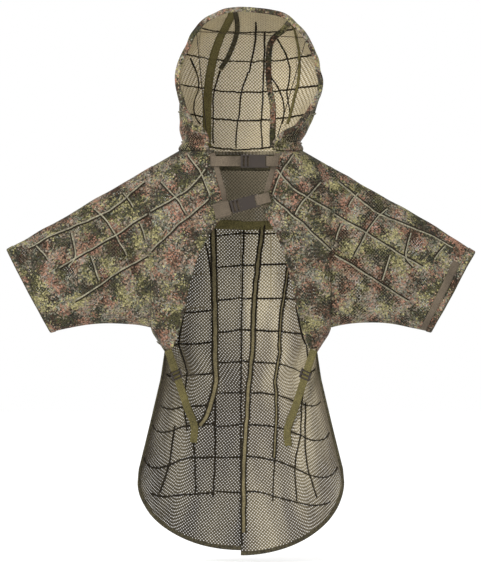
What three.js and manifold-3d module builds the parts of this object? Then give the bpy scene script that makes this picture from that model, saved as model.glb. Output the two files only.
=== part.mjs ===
// A net camouflage cape: hood, elbow-length sleeves, short cut-away fronts and a long back tail.
// Millimetres, +Z up, worn upright. -Y is the front, +X the right of someone who faces the front.
// The origin is the middle of the neck, level with the seam between the hood and the cape.
import * as THREE from 'three';
import { mergeVertices } from 'three/addons/utils/BufferGeometryUtils.js';
import Module from 'manifold-3d';

// ---- Driving dimensions ----
const CLOTH = 2; // net with its backing, as a solid sheet
const TAPE = 1.4; // seam tape
const SEAM_GAP = 0.45; // half the gap between two sheets that meet edge to edge
const LAY_GAP = 0.7; // gap under a tape, cord or strap that lies on the cloth
const HOOD_CORD_GAP = 1.4; // the hood's hollows lift its cords a little more
const BINDING_WIDTH = 10;
const BINDING_THICK = 3.4;
const CORD_WIDTH = 4.4;
const CORD_HEIGHT = 3.6;

const NECK_HALF_WIDTH = 154;
const NECK_HALF_DEPTH = 80;
const NECK_Y = -5; // middle of the neck and of the shoulder line, front to back
const NECK_OPEN = (150 / 180) * Math.PI; // the neck seam ends here at each side of the throat

const ARMHOLE_X = 225;
const SHOULDER_SLOPE = Math.tan((30 / 180) * Math.PI);
const ARMHOLE_HEIGHT = 399;
const ARMHOLE_HALF_DEPTH = 62;
const WAIST_Z = -500;
const WAIST_HALF_WIDTH = 188;
const TAIL_WIDEST_Z = -829;
const TAIL_HALF_WIDTH = 259;
const HEM_DROP = 181; // from the widest level down to the lowest point of the hem
const BACK_DEPTH = 103; // neck middle to the back cloth
const CHEST_DEPTH = 94; // neck middle to the front cloth
const ROUNDING = 110; // the shoulders round over into the panels within this height

const CUFF_TOP = [583, -249];
const CUFF_BOTTOM = [474, -452];
const UNDERSLEEVE = [330, -412]; // pulls the underside of the sleeve into its curve
const CUFF_HALF_DEPTH = 52;
const CUFF_HEM_WIDTH = 22;

const HOOD_HEIGHT = 355;
const HOOD_HALF_WIDTH = 184;
const HOOD_BULGE = 88; // how far the back of the hood stands out behind the neck
const HOOD_CENTRE_SHARE = 0.22; // the centre panel's share of the way from the middle to the throat
const SEAM_TAPE_WIDTH = 22;

const WEBBING_WIDTH = 25;
const WEBBING_THICK = 1.5;
const UPPER_STRAP_Z = -28;
const STRAP_CLEARANCE = 3.6; // from the fullest part of the chest to the middle of the upper strap
const UPPER_STRAP_Y = NECK_Y - CHEST_DEPTH - STRAP_CLEARANCE;
const FOLD_THICK = 11; // from the middle of the lower strap back through the folded webbing under it
const FOLD_CLEARANCE = 2.2; // between the folded webbing and the fullest part of the chest
const LOWER_STRAP_Y = NECK_Y - CHEST_DEPTH - FOLD_CLEARANCE - FOLD_THICK;
const LOWER_STRAP = { x: 0, z: -136, tilt: (15 / 180) * Math.PI };
const BUCKLE_HALF_WIDTH = WEBBING_WIDTH / 2 + 3.5;
const BUCKLE_HALF_THICK = 4.5;
const BUCKLE_FIT = 0.4; // running clearance between the two halves and along the webbing

const SIDE_STRAP_WIDTH = 19;
const SIDE_STRAP_THICK = 1.6;
const SIDE_STRAP_END_Z = -700;

// ---- Materials ----
const COLOURS = {
  camo: 0x6d6a4c,
  lining: 0x6f6a4a,
  tape: 0x5d5a38,
  binding: 0x3f3d2a,
  cord: 0x7a745c,
  webbing: 0x857a66,
  plastic: 0x5f5748,
};
const material = (kind) =>
  new THREE.MeshStandardMaterial({
    color: COLOURS[kind],
    roughness: kind === 'plastic' ? 0.55 : 0.9,
    metalness: 0,
  });

const cape = new THREE.Group();
const wasm = await Module();
wasm.setup();

// ---- Sheets, slabs and cords ----
const lerp = THREE.MathUtils.lerp;
const clamp01 = (t) => THREE.MathUtils.clamp(t, 0, 1);
const steps = (from, to, n) => Array.from({ length: n + 1 }, (_, i) => from + ((to - from) * i) / n);

// Level of a piecewise straight profile [[key, value], ...] whose keys fall or rise steadily.
function profile(points, key) {
  const rising = points[1][0] > points[0][0];
  let k = 0;
  while (k < points.length - 2 && (rising ? key > points[k + 1][0] : key < points[k + 1][0])) k += 1;
  const [[a, va], [b, vb]] = [points[k], points[k + 1]];
  return lerp(va, vb, clamp01((key - a) / (b - a)));
}

// A curved sheet, sampled on a grid. Everything sewn to it is placed on the same flat cells.
class Sheet {
  constructor(point, us, vs, wraps = false) {
    this.us = us;
    this.vs = vs;
    this.wraps = wraps;
    this.points = us.map((u) => vs.map((v) => point(u, v)));
    this.normals = us.map((_, i) => vs.map((__, j) => this.slope(i, j)));
  }
  slope(i, j) {
    const last = this.us.length - 1;
    const before = this.wraps && i === 0 ? last - 1 : Math.max(i - 1, 0);
    const after = this.wraps && i === last ? 1 : Math.min(i + 1, last);
    const along = this.points[after][j].clone().sub(this.points[before][j]);
    const down = this.points[i][Math.min(j + 1, this.vs.length - 1)].clone();
    down.sub(this.points[i][Math.max(j - 1, 0)]);
    return along.cross(down).normalize();
  }
  flatten(chosen, axis) {
    this.us.forEach((u, i) => this.vs.forEach((v, j) => {
      if (chosen(u, v)) this.normals[i][j].setComponent(axis, 0).normalize();
    }));
    return this;
  }
  cell(list, value) {
    let k = 0;
    while (k < list.length - 2 && value > list[k + 1] + 1e-9) k += 1;
    return [k, (value - list[k]) / (list[k + 1] - list[k])];
  }
  blend(grid, u, v) {
    const [i, a] = this.cell(this.us, u);
    const [j, b] = this.cell(this.vs, v);
    const near = grid[i][j].clone().lerp(grid[i + 1][j], a);
    return near.lerp(grid[i][j + 1].clone().lerp(grid[i + 1][j + 1], a), b);
  }
  normal(u, v) {
    return this.blend(this.normals, u, v).normalize();
  }
  // Unit vectors along u and v in the sheet, square to each other.
  axes(u, v) {
    const step = 1e-3;
    const [low, high] = [Math.max(v - step, this.vs[0]), Math.min(v + step, this.vs[this.vs.length - 1])];
    const vAxis = this.at(u, high).sub(this.at(u, low)).normalize();
    const uAxis = vAxis.clone().cross(this.normal(u, v)).normalize();
    return [uAxis, this.normal(u, v).cross(uAxis)];
  }
  at(u, v, lift = 0) {
    return this.blend(this.points, u, v).addScaledVector(this.normal(u, v), lift);
  }
}

// A closed surface, turned so that its faces point out.
function closedGeometry(position, faces) {
  let volume = 0;
  const corner = (k) => new THREE.Vector3().fromArray(position, 3 * k);
  for (let k = 0; k < faces.length; k += 3) {
    volume += corner(faces[k]).dot(corner(faces[k + 1]).cross(corner(faces[k + 2])));
  }
  if (volume < 0) faces.reverse();
  const geometry = new THREE.BufferGeometry();
  geometry.setAttribute('position', new THREE.Float32BufferAttribute(position, 3));
  geometry.setIndex(faces);
  return geometry;
}

// A closed solid between two grids of points.
function slabGeometry(upper, lower, wraps = false) {
  const rows = upper.length;
  const columns = upper[0].length;
  const position = [];
  for (const grid of [upper, lower]) {
    for (const row of grid) for (const p of row) position.push(p.x, p.y, p.z);
  }
  const id = (side, i, j) => side * rows * columns + (i % rows) * columns + j;
  const faces = [];
  const quad = (a, b, c, d) => faces.push(a, b, c, a, c, d);
  const ringCount = wraps ? rows : rows - 1;
  for (let i = 0; i < ringCount; i += 1) {
    for (let j = 0; j < columns - 1; j += 1) {
      quad(id(0, i, j), id(0, i + 1, j), id(0, i + 1, j + 1), id(0, i, j + 1));
      quad(id(1, i, j), id(1, i, j + 1), id(1, i + 1, j + 1), id(1, i + 1, j));
    }
    quad(id(0, i + 1, 0), id(0, i, 0), id(1, i, 0), id(1, i + 1, 0));
    const j = columns - 1;
    quad(id(0, i, j), id(0, i + 1, j), id(1, i + 1, j), id(1, i, j));
  }
  for (let j = 0; j < columns - 1 && !wraps; j += 1) {
    quad(id(0, 0, j), id(0, 0, j + 1), id(1, 0, j + 1), id(1, 0, j));
    const i = rows - 1;
    quad(id(0, i, j + 1), id(0, i, j), id(1, i, j), id(1, i, j + 1));
  }
  return closedGeometry(position, faces);
}

// A patch of a sheet with a thickness, from one lift off the sheet to another.
function patch(sheet, us, vs, low, high) {
  const grid = (lift) => us.map((u) => vs.map((v) => sheet.at(u, v, lift)));
  return slabGeometry(grid(high), grid(low), sheet.wraps);
}

const panel = (sheet) => {
  const us = sheet.wraps ? sheet.us.slice(0, -1) : sheet.us;
  return patch(sheet, us, sheet.vs, -CLOTH / 2, CLOTH / 2);
};
const overlay = (sheet, us, vs, side, layer = 0, thick = TAPE) => {
  const low = CLOTH / 2 + LAY_GAP + layer * (TAPE + LAY_GAP);
  return patch(sheet, us, vs, side * low, side * (low + thick));
};

// Folded tape along an edge of a sheet: route holds the [u, v] of the edge, inward the way off it.
function edging(sheet, route, inward, width = BINDING_WIDTH, thick = BINDING_THICK) {
  const edge = route.map(([u, v]) => sheet.at(u, v));
  const upper = [[], []];
  const lower = [[], []];
  route.forEach(([u, v], k) => {
    const ahead = edge[Math.min(k + 1, edge.length - 1)].clone().sub(edge[Math.max(k - 1, 0)]);
    const normal = sheet.normal(u, v);
    const out = ahead.cross(normal).normalize();
    const [du, dv] = inward(u, v);
    const inner = sheet.at(u + du, v + dv).sub(edge[k]);
    if (out.dot(inner) > 0) out.negate();
    [SEAM_GAP, width].forEach((reach, side) => {
      const middle = edge[k].clone().addScaledVector(out, reach);
      upper[side].push(middle.clone().addScaledVector(normal, thick / 2));
      lower[side].push(middle.addScaledVector(normal, -thick / 2));
    });
  });
  return slabGeometry(upper, lower);
}

// Cords crossing at right angles along the lines of a sheet, sewn together where they cross.
function cordNet(sheet, rows, rowUs, lines, lineVs, standOff = LAY_GAP) {
  const position = [];
  const faces = [];
  const quad = (a, b, c, d) => faces.push(a, b, c, a, c, d);
  const half = CORD_WIDTH / 2;
  const corner = (u, v, su, sv, high) => {
    const [uAxis, vAxis] = sheet.axes(u, v);
    const lift = CLOTH / 2 + standOff + (high ? CORD_HEIGHT : 0);
    const p = sheet.at(u, v, lift).addScaledVector(uAxis, su * half).addScaledVector(vAxis, sv * half);
    position.push(p.x, p.y, p.z);
    return position.length / 3 - 1;
  };
  const square = (u, v, along) =>
    [[-1, 0], [1, 0], [1, 1], [-1, 1]].map(([s, high]) =>
      (along === 'u' ? corner(u, v, 0, s, high) : corner(u, v, -s, 0, high)));
  const tube = (a, b) => [0, 1, 2, 3].forEach((k) => quad(a[k], a[(k + 1) % 4], b[(k + 1) % 4], b[k]));
  // Each crossing is a square block, whose four sides are the ends of the cords that meet there.
  const crossings = new Map();
  for (const u of lines) {
    for (const v of rows) {
      const [a, b, c, d] = [[-1, -1], [1, -1], [1, 1], [-1, 1]].map(([su, sv]) =>
        [corner(u, v, su, sv, 0), corner(u, v, su, sv, 1)]);
      quad(a[1], b[1], c[1], d[1]);
      quad(a[0], d[0], c[0], b[0]);
      crossings.set(`${u} ${v}`, {
        u: [[a[0], d[0], d[1], a[1]], [b[0], c[0], c[1], b[1]]],
        v: [[b[0], a[0], a[1], b[1]], [c[0], d[0], d[1], c[1]]],
      });
    }
  }
  const run = (stations, along, closed = false) => {
    const ends = stations.map(([u, v]) => {
      const crossing = crossings.get(`${u} ${v}`);
      if (crossing) return crossing[along];
      const section = square(u, v, along);
      return [section, section];
    });
    const count = ends.length;
    for (let k = 0; k < (closed ? count : count - 1); k += 1) tube(ends[k][1], ends[(k + 1) % count][0]);
    if (closed) return;
    const [first, last] = [ends[0][0], ends[count - 1][1]];
    quad(first[0], first[3], first[2], first[1]);
    quad(last[0], last[1], last[2], last[3]);
  };
  rows.forEach((v) => run(rowUs.map((u) => [u, v]), 'u', sheet.wraps));
  lines.forEach((u) => run(lineVs.map((v) => [u, v]), 'v'));
  return closedGeometry(position, faces);
}

function solid(geometry) {
  const bare = geometry.clone();
  bare.deleteAttribute('normal');
  bare.deleteAttribute('uv');
  const merged = mergeVertices(bare, 1e-3);
  const build = (triVerts) =>
    new wasm.Manifold(new wasm.Mesh({
      numProp: 3,
      vertProperties: merged.attributes.position.array,
      triVerts,
    }));
  const body = build(new Uint32Array(merged.index.array));
  return body.volume() > 0 ? body : build(new Uint32Array(merged.index.array).reverse());
}

function geometryOf(body) {
  const mesh = body.getMesh();
  const geometry = new THREE.BufferGeometry();
  geometry.setAttribute('position', new THREE.BufferAttribute(new Float32Array(mesh.vertProperties), 3));
  geometry.setIndex(new THREE.BufferAttribute(new Uint32Array(mesh.triVerts), 1));
  return geometry;
}

const join = (list) => geometryOf(list.map(solid).reduce((sum, next) => sum.add(next)));
const cut = (geometry, tools) =>
  geometryOf(tools.map(solid).reduce((rest, tool) => rest.subtract(tool), solid(geometry)));

// A box from its lowest to its highest corner.
function box(low, high) {
  const size = high.map((h, k) => h - low[k]);
  return new THREE.BoxGeometry(...size).translate(...high.map((h, k) => (h + low[k]) / 2));
}

function add(name, kind, geometry, parent = cape) {
  const mesh = new THREE.Mesh(geometry, material(kind));
  mesh.name = name;
  parent.add(mesh);
  return mesh;
}

// The same piece on both sides, the left one a mirror image.
function addPair(name, kind, geometry) {
  add(`${name}_right`, kind, geometry);
  add(`${name}_left`, kind, geometry).scale.x = -1;
}

// ---- The body's outer shape ----
const superRound = (share, power = 2.2) => Math.pow(Math.max(0, 1 - Math.pow(share, power)), 1 / power);
const shoulderDrop = (x) => -SHOULDER_SLOPE * Math.max(0, x - NECK_HALF_WIDTH);
const neckDepth = (x) => NECK_HALF_DEPTH * Math.sqrt(Math.max(0, 1 - (x / NECK_HALF_WIDTH) ** 2));
const ARMHOLE_TOP = shoulderDrop(ARMHOLE_X);
const ARMHOLE_BOTTOM = ARMHOLE_TOP - ARMHOLE_HEIGHT;
const ARMHOLE_MIDDLE = (ARMHOLE_TOP + ARMHOLE_BOTTOM) / 2;

const armholeDepth = (z) =>
  ARMHOLE_HALF_DEPTH * Math.sqrt(Math.max(0, 1 - ((z - ARMHOLE_MIDDLE) / (ARMHOLE_HEIGHT / 2)) ** 2));
const sideWidth = (z) =>
  profile([
    [ARMHOLE_BOTTOM, ARMHOLE_X],
    [WAIST_Z, WAIST_HALF_WIDTH],
    [lerp(WAIST_Z, TAIL_WIDEST_Z, 0.22), lerp(WAIST_HALF_WIDTH, TAIL_HALF_WIDTH, 0.16)],
    [lerp(WAIST_Z, TAIL_WIDEST_Z, 0.9), lerp(WAIST_HALF_WIDTH, TAIL_HALF_WIDTH, 0.95)],
    [TAIL_WIDEST_Z, TAIL_HALF_WIDTH],
  ], z);
const roundOver = (z, top) => Math.sqrt(1 - (1 - clamp01((top - z) / ROUNDING)) ** 2);

// Back half: u runs from the centre seam out to the armhole and side edge, v from the top down.
function backPoint(u, v) {
  const edgeZ = lerp(ARMHOLE_TOP, TAIL_WIDEST_Z, v);
  const x = u * (v === 0 ? ARMHOLE_X : sideWidth(edgeZ));
  const top = shoulderDrop(x);
  const hem = TAIL_WIDEST_Z - HEM_DROP * Math.sqrt(Math.max(0, 1 - u * u));
  const z = lerp(top, hem, v);
  const topDepth = neckDepth(x);
  const tailLean = profile([[ARMHOLE_BOTTOM, 0], [WAIST_Z, 8], [TAIL_WIDEST_Z, 48]], edgeZ);
  const edge = edgeZ > ARMHOLE_BOTTOM ? armholeDepth(edgeZ) : tailLean;
  const full = edge + (BACK_DEPTH - edge) * superRound(u);
  return new THREE.Vector3(x, NECK_Y + lerp(topDepth, full, u === 1 ? 1 : roundOver(z, top)), z);
}

// Front half: u runs from the armhole and side edge in to the open front edge, v from the top down.
const FRONT_TIP_Z = WAIST_Z + 6;
const FRONT_TIP_WIDTH = 20;
const frontEdge = (z) =>
  profile([
    [0, NECK_HALF_WIDTH / 2],
    [-50, 62],
    [-105, 47],
    [-130, 44],
    [-160, 51],
    [-210, 84],
    [-260, 107],
    [-330, 127],
    [-400, 141],
    [-450, 154],
    [FRONT_TIP_Z, sideWidth(FRONT_TIP_Z) - FRONT_TIP_WIDTH],
  ], z);
function frontPoint(u, v) {
  const sideZ = lerp(ARMHOLE_TOP, FRONT_TIP_Z, v);
  const innerZ = lerp(0, FRONT_TIP_Z, v);
  const x = lerp(sideWidth(sideZ), frontEdge(innerZ), u);
  const top = shoulderDrop(x);
  const z = lerp(top, FRONT_TIP_Z, v);
  const edge = sideZ > ARMHOLE_BOTTOM ? armholeDepth(sideZ) : 0;
  const chest = profile([[0, CHEST_DEPTH], [-350, CHEST_DEPTH], [FRONT_TIP_Z, CHEST_DEPTH * 0.6]], z);
  const full = edge + (chest - edge) * superRound(x / sideWidth(sideZ));
  const depth = lerp(neckDepth(x), full, u === 0 ? 1 : roundOver(z, top));
  return new THREE.Vector3(x, NECK_Y - depth, z);
}

// Sheets that meet draw back from the seam by shift(u, v), so that they keep clear of each other.
const seamed = (point, shift) => (u, v) => point(u, v).add(new THREE.Vector3(...shift(u, v)));
const DRAWN = SEAM_GAP + CLOTH / 2;

const neckU = NECK_HALF_WIDTH / ARMHOLE_X;
const sideV = (z, foot) => (ARMHOLE_TOP - z) / (ARMHOLE_TOP - foot);
const backUnderarm = sideV(ARMHOLE_BOTTOM, TAIL_WIDEST_Z);
const backWaist = sideV(WAIST_Z, TAIL_WIDEST_Z);
const backUs = [0, neckU / 4, neckU / 2, (3 * neckU) / 4, neckU, 0.85, 0.95, 1];
const backVs = [0, 0.04, 0.11, 0.21, 0.31, 0.41, backUnderarm, backWaist, 0.67, 0.76, 0.85, 0.93, 1];
const backSheet = new Sheet(
  seamed(backPoint, (u, v) => [
    u === 0 ? SEAM_GAP : u < 1 ? 0 : v < backUnderarm ? -SEAM_GAP : -DRAWN,
    (v === 0 && u >= neckU) || (u === 1 && v >= backUnderarm) ? SEAM_GAP : 0,
    v > 0 ? 0 : u < neckU ? -SEAM_GAP : -DRAWN,
  ]),
  backUs,
  backVs,
)
  .flatten((u, v) => u === 0 || (u === 1 && v < backUnderarm), 0)
  .flatten((u, v) => (v === 0 && u >= neckU) || (u === 1 && v >= backUnderarm), 1)
  .flatten((u, v) => v === 0 && u < neckU, 2);

const frontUnderarm = sideV(ARMHOLE_BOTTOM, FRONT_TIP_Z);
const frontNeckU = (ARMHOLE_X - NECK_HALF_WIDTH) / (ARMHOLE_X - NECK_HALF_WIDTH / 2);
const frontUs = [0, 0.12, 0.28, frontNeckU, 0.74, 0.87, 1];
const frontVs = [0, 0.05, 0.12, 0.21, 0.3, 0.39, 0.48, 0.57, 0.66, 0.77, frontUnderarm, 1];
const frontSheet = new Sheet(
  seamed(frontPoint, (u, v) => [
    u > 0 ? 0 : v < frontUnderarm ? -SEAM_GAP : -DRAWN,
    (v === 0 && u <= frontNeckU) || (u === 0 && v >= frontUnderarm) ? -SEAM_GAP : 0,
    v > 0 ? 0 : u > frontNeckU ? -SEAM_GAP : -DRAWN,
  ]),
  frontUs,
  frontVs,
)
  .flatten((u, v) => u === 0 && v < frontUnderarm, 0)
  .flatten((u, v) => (v === 0 && u <= frontNeckU) || (u === 0 && v >= frontUnderarm), 1)
  .flatten((u, v) => v === 0 && u > frontNeckU, 2);

// Sleeve: u is the way round, from the top to the front; v runs from the armhole to the cuff.
const SLEEVE_START = SEAM_GAP / (CUFF_TOP[0] - ARMHOLE_X); // share of the sleeve's length
function sleevePoint(u, v) {
  const t = lerp(SLEEVE_START, 1, v);
  const arch = [(1 - t) ** 2, 2 * t * (1 - t), t * t];
  const bottomStart = [ARMHOLE_X, ARMHOLE_BOTTOM];
  const top = [0, 1].map((k) => lerp([ARMHOLE_X, ARMHOLE_TOP][k], CUFF_TOP[k], t));
  const foot = [0, 1].map((k) =>
    arch[0] * bottomStart[k] + arch[1] * UNDERSLEEVE[k] + arch[2] * CUFF_BOTTOM[k]);
  const turn = -2 * Math.PI * u;
  const share = (1 + Math.cos(turn)) / 2;
  const depth = lerp(ARMHOLE_HALF_DEPTH, CUFF_HALF_DEPTH, t) * Math.sin(turn);
  return new THREE.Vector3(lerp(foot[0], top[0], share), NECK_Y + depth, lerp(foot[1], top[1], share));
}
const AROUND = 20;
const sleeveVs = [0, 0.11, 0.22, 0.33, 0.44, 0.55, 0.66, 0.77, 0.89, 1];
const sleeveSheet = new Sheet(sleevePoint, steps(0, 1, AROUND), sleeveVs, true)
  .flatten((u, v) => v === 0, 0);

// Hood: u runs from the right side of the throat (-1) over the back (0) to the left side (1), v from
// the neck seam to the brim.
const brimCurve = new THREE.CatmullRomCurve3([
  [0, -72, 1],
  [0.42, -71, 0.965],
  [0.72, -70, 0.85],
  [0.93, -70, 0.64],
  [1, -72, 0.42],
  [0.94, -78, 0.26],
  [0.74, -86, 0.175],
  [0.56, -88, 0.12],
  [0.46, -86, 0.045],
].map(([x, y, z]) => new THREE.Vector3(x * HOOD_HALF_WIDTH, y, z * HOOD_HEIGHT)), false, 'centripetal');
function hoodPoint(u, v) {
  const side = Math.abs(u);
  const turn = side * NECK_OPEN;
  const out = new THREE.Vector3(Math.sin(turn), Math.cos(turn), 0);
  const seam = new THREE.Vector3(NECK_HALF_WIDTH * out.x, NECK_Y + NECK_HALF_DEPTH * out.y, 0);
  const brim = brimCurve.getPoint(side);
  const fullness = 1 - side * side;
  const rise = seam.clone().addScaledVector(out, HOOD_BULGE * fullness);
  rise.z += HOOD_HEIGHT * (0.02 + 0.33 * fullness);
  const crown = brim.clone().add(new THREE.Vector3(6, 10 + (2.5 * HOOD_BULGE) * fullness, 0));
  const arch = new THREE.CubicBezierCurve3(seam, rise, crown, brim);
  const point = arch.getPoint(v);
  point.x *= -Math.sign(u);
  return point;
}
const hoodVs = [0, 0.07, 0.14, 0.28, 0.42, 0.56, 0.7, 0.84, 0.93, 1];
const seamU = HOOD_CENTRE_SHARE;
const hoodSideUs = [-1, -0.92, -0.82, -0.7, -0.58, -0.46, -0.34, -seamU];
const hoodSheet = (us, seamShift) =>
  new Sheet(
    seamed(hoodPoint, (u, v) => [u === -seamU ? seamShift : 0, 0, v === 0 ? SEAM_GAP : 0]),
    us,
    hoodVs,
  ).flatten((u, v) => v === 0, 2);
const hoodCentreUs = steps(-seamU, seamU, 4);
const hoodCentreSheet = hoodSheet(hoodCentreUs, 0);
const hoodSideSheet = hoodSheet(hoodSideUs, 2 * SEAM_GAP);
const mirroredUs = (us) => us.map((u) => -u).reverse();
const hoodWhole = hoodSheet(
  [...hoodSideUs.slice(0, -1), ...hoodCentreUs, ...mirroredUs(hoodSideUs).slice(1)],
  0,
);

// The back as one sheet, for what crosses the centre seam.
const acrossUs = backUs.slice(0, backUs.indexOf(neckU) + 1);
const backWhole = new Sheet(
  (u, v) => {
    const point = backPoint(Math.abs(u), v);
    point.x *= Math.sign(u);
    return point;
  },
  [...mirroredUs(acrossUs).slice(0, -1), ...acrossUs],
  backVs,
);
const between = (list, from, to) => [from, ...list.filter((v) => v > from && v < to), to];

// ---- Cloth ----
const OUTSIDE = 1;
const INSIDE = -1;
addPair('back_panel', 'camo', panel(backSheet));
addPair('front_panel', 'camo', panel(frontSheet));
addPair('sleeve', 'camo', panel(sleeveSheet));
add('hood_centre_panel', 'camo', panel(hoodCentreSheet));
addPair('hood_side_panel', 'camo', panel(hoodSideSheet));

// ---- Linings, seam tapes and bindings ----
const NECK_TAPE_V = [0.02, 0.042];
const YOKE_V = [0.05, 0.17];
const YOKE_HEM_V = [0.175, 0.192];
const BACK_TAPE_V = [0.2, 0.985];
const FRONT_TAPE_V = [0.02, 0.3];
const FRONT_BINDING_V = [0.31, 0.985];
const EDGE = 0.02; // a small step in from the edge of a sheet
const across = between(backWhole.us, -0.97 * neckU, 0.97 * neckU);
const strip = (sheet, us, [from, to], side) => overlay(sheet, us, between(sheet.vs, from, to), side);
add('neck_seam_tape', 'binding', strip(backWhole, across, NECK_TAPE_V, INSIDE));
add('back_yoke_lining', 'lining', strip(backWhole, across, YOKE_V, INSIDE));
add('yoke_hem_band', 'tape', strip(backWhole, across, YOKE_HEM_V, INSIDE));
add('centre_back_tape', 'tape', strip(backWhole, [-0.04, 0, 0.04], BACK_TAPE_V, INSIDE));
const sideTapeUs = [neckU / 2 - 0.045, neckU / 2, neckU / 2 + 0.045];
addPair('back_side_tape', 'tape', strip(backSheet, sideTapeUs, BACK_TAPE_V, INSIDE));

const seamTapeShare = SEAM_TAPE_WIDTH / 2 / 330;
const seamTapeUs = [-seamU - seamTapeShare, -seamU, -seamU + seamTapeShare];
addPair('hood_seam_tape', 'tape', strip(hoodWhole, seamTapeUs, [0.02, 0.98], INSIDE));
add('hood_brim_binding', 'camo', edging(hoodWhole, hoodWhole.us.map((u) => [u, 1]), () => [0, -EDGE]));
addPair('throat_tape', 'webbing', edging(
  frontSheet,
  between(frontVs, ...FRONT_TAPE_V).map((v) => [1, v]),
  () => [-EDGE, 0],
));
addPair('front_edge_binding', 'binding', edging(
  frontSheet,
  between(frontVs, ...FRONT_BINDING_V).map((v) => [1, v]),
  () => [-EDGE, 0],
));
const hemStart = sideV(FRONT_TIP_Z, TAIL_WIDEST_Z) + EDGE;
const hemRoute = [
  ...between(backVs, hemStart, 1).map((v) => [1, v]),
  ...[...backUs.slice(1, -1), EDGE].sort((a, b) => b - a).map((u) => [u, 1]),
];
addPair('tail_hem_binding', 'binding', edging(
  backSheet,
  hemRoute,
  (u, v) => [u === 1 ? -EDGE : 0, v === 1 ? -EDGE : 0],
));
const cuffHemV = 1 - CUFF_HEM_WIDTH / Math.hypot(CUFF_TOP[0] - ARMHOLE_X, CUFF_TOP[1] - ARMHOLE_TOP);
addPair('cuff_hem', 'binding', overlay(sleeveSheet, sleeveSheet.us.slice(0, -1), [cuffHemV, 1], OUTSIDE));

// ---- The garnish cords, sewn on in squares of about 80 mm ----
addPair('back_cords', 'cord', cordNet(
  backSheet,
  backVs.slice(2, -1),
  [0.02, ...backUs.slice(1, -1)],
  [neckU / 2, neckU],
  between(backVs, 0.03, 0.99),
));
addPair('front_cords', 'cord', cordNet(
  frontSheet,
  [0.12, 0.3, 0.48, 0.66, frontUnderarm],
  between(frontUs, 0.06, 0.8),
  [0.28, 0.74],
  between(frontVs, 0.06, 0.93),
));
addPair('sleeve_cords', 'cord', cordNet(
  sleeveSheet,
  [0.11, 0.33, 0.55, 0.77],
  sleeveSheet.us.slice(0, -1),
  [0, 3, 5, 7, 13, 15, 17].map((k) => k / AROUND),
  between(sleeveVs, 0.04, 0.91),
));
add('hood_cords', 'cord', cordNet(
  hoodWhole,
  [0.14, 0.28, 0.42, 0.56, 0.7, 0.84],
  between(hoodWhole.us, -0.82, 0.82),
  [-0.58, -0.34, 0, 0.34, 0.58],
  between(hoodVs, 0.07, 0.97),
  HOOD_CORD_GAP,
));

// ---- Side-release buckles and their webbing ----
// Each buckle lies along X with its halves meeting at x = 0; the webbing runs in front of the cape.
const MALE_BASE = 25;
const HOUSING = [BUCKLE_FIT, 44];
const TUNNEL = [1.2, 3.5]; // where the webbing runs through the male half, front to back
const WEB_Y = TUNNEL[0] + BUCKLE_FIT;
const WEB_BACK = WEB_Y + WEBBING_THICK;
const PRONG_LENGTH = 26;
const WALL = 3; // side wall of the housing
const CAVITY = [33, 2.6, BUCKLE_HALF_WIDTH - WALL]; // depth, half thickness and half width of the pocket
const BAR = [41, 44]; // the housing's end bar, in X
const SLOT_WIDTH = 4.4;
const HEAD = [13, 22]; // the barbed ends of the side arms, in X
const WINDOW = [HEAD[0] - 1, HEAD[1] + 2]; // the housing's side windows, where the barbs catch

function buckleMale() {
  const w = BUCKLE_HALF_WIDTH;
  const t = BUCKLE_HALF_THICK;
  const slot = WEBBING_WIDTH / 2 + BUCKLE_FIT;
  const base = cut(box([-MALE_BASE, -t, -w], [0, t, w]), [
    box([-MALE_BASE - 1, TUNNEL[0], -slot], [1, TUNNEL[1], slot]),
    box([-20, -t - 1, -slot], [-14.5, TUNNEL[0] + 1, slot]),
    box([-10, -t - 1, -slot], [-4.5, TUNNEL[0] + 1, slot]),
  ]);
  const thin = CAVITY[1] - BUCKLE_FIT - 1.2;
  const reach = CAVITY[2] - BUCKLE_FIT;
  const prong = (from, to, inner, outer) =>
    [box([from, -thin, inner], [to, thin, outer]), box([from, -thin, -outer], [to, thin, -inner])];
  const arms = prong(-1, HEAD[1], reach - 4.6, reach - 1.6);
  const heads = prong(HEAD[0], HEAD[1], reach - 2.6, reach);
  const guide = box([-1, -thin, -2.5], [PRONG_LENGTH, thin, 2.5]);
  return join([base, guide, ...arms, ...heads]);
}

function buckleFemale() {
  const w = BUCKLE_HALF_WIDTH;
  const t = BUCKLE_HALF_THICK;
  const [depth, halfThick, halfWidth] = CAVITY;
  return cut(box([HOUSING[0], -t, -w], [HOUSING[1], t, w]), [
    box([0, -halfThick, -halfWidth], [depth, halfThick, halfWidth]),
    box([WINDOW[0], -halfThick, -w - 1], [WINDOW[1], halfThick, w + 1]),
    box([BAR[0] - SLOT_WIDTH, -t - 1, -halfWidth], [BAR[0], t + 1, halfWidth]),
  ]);
}

// A flat outline in X and Y, as wide as the webbing.
function webbing(outline) {
  const shape = new THREE.Shape(outline.map(([x, y]) => new THREE.Vector2(x, y)));
  return new THREE.ExtrudeGeometry(shape, { depth: WEBBING_WIDTH, bevelEnabled: false, curveSegments: 8 })
    .translate(0, 0, -WEBBING_WIDTH / 2);
}

// Webbing that runs through the male half and turns down to a foot of the given depth.
const maleWebbing = (footX, footDepth) => webbing([
  [footX, WEB_Y],
  [-2, WEB_Y],
  [-2, WEB_BACK],
  [footX + SEWN_END, WEB_BACK],
  [footX + SEWN_END, WEB_BACK + footDepth],
  [footX, WEB_BACK + footDepth],
]);

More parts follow.
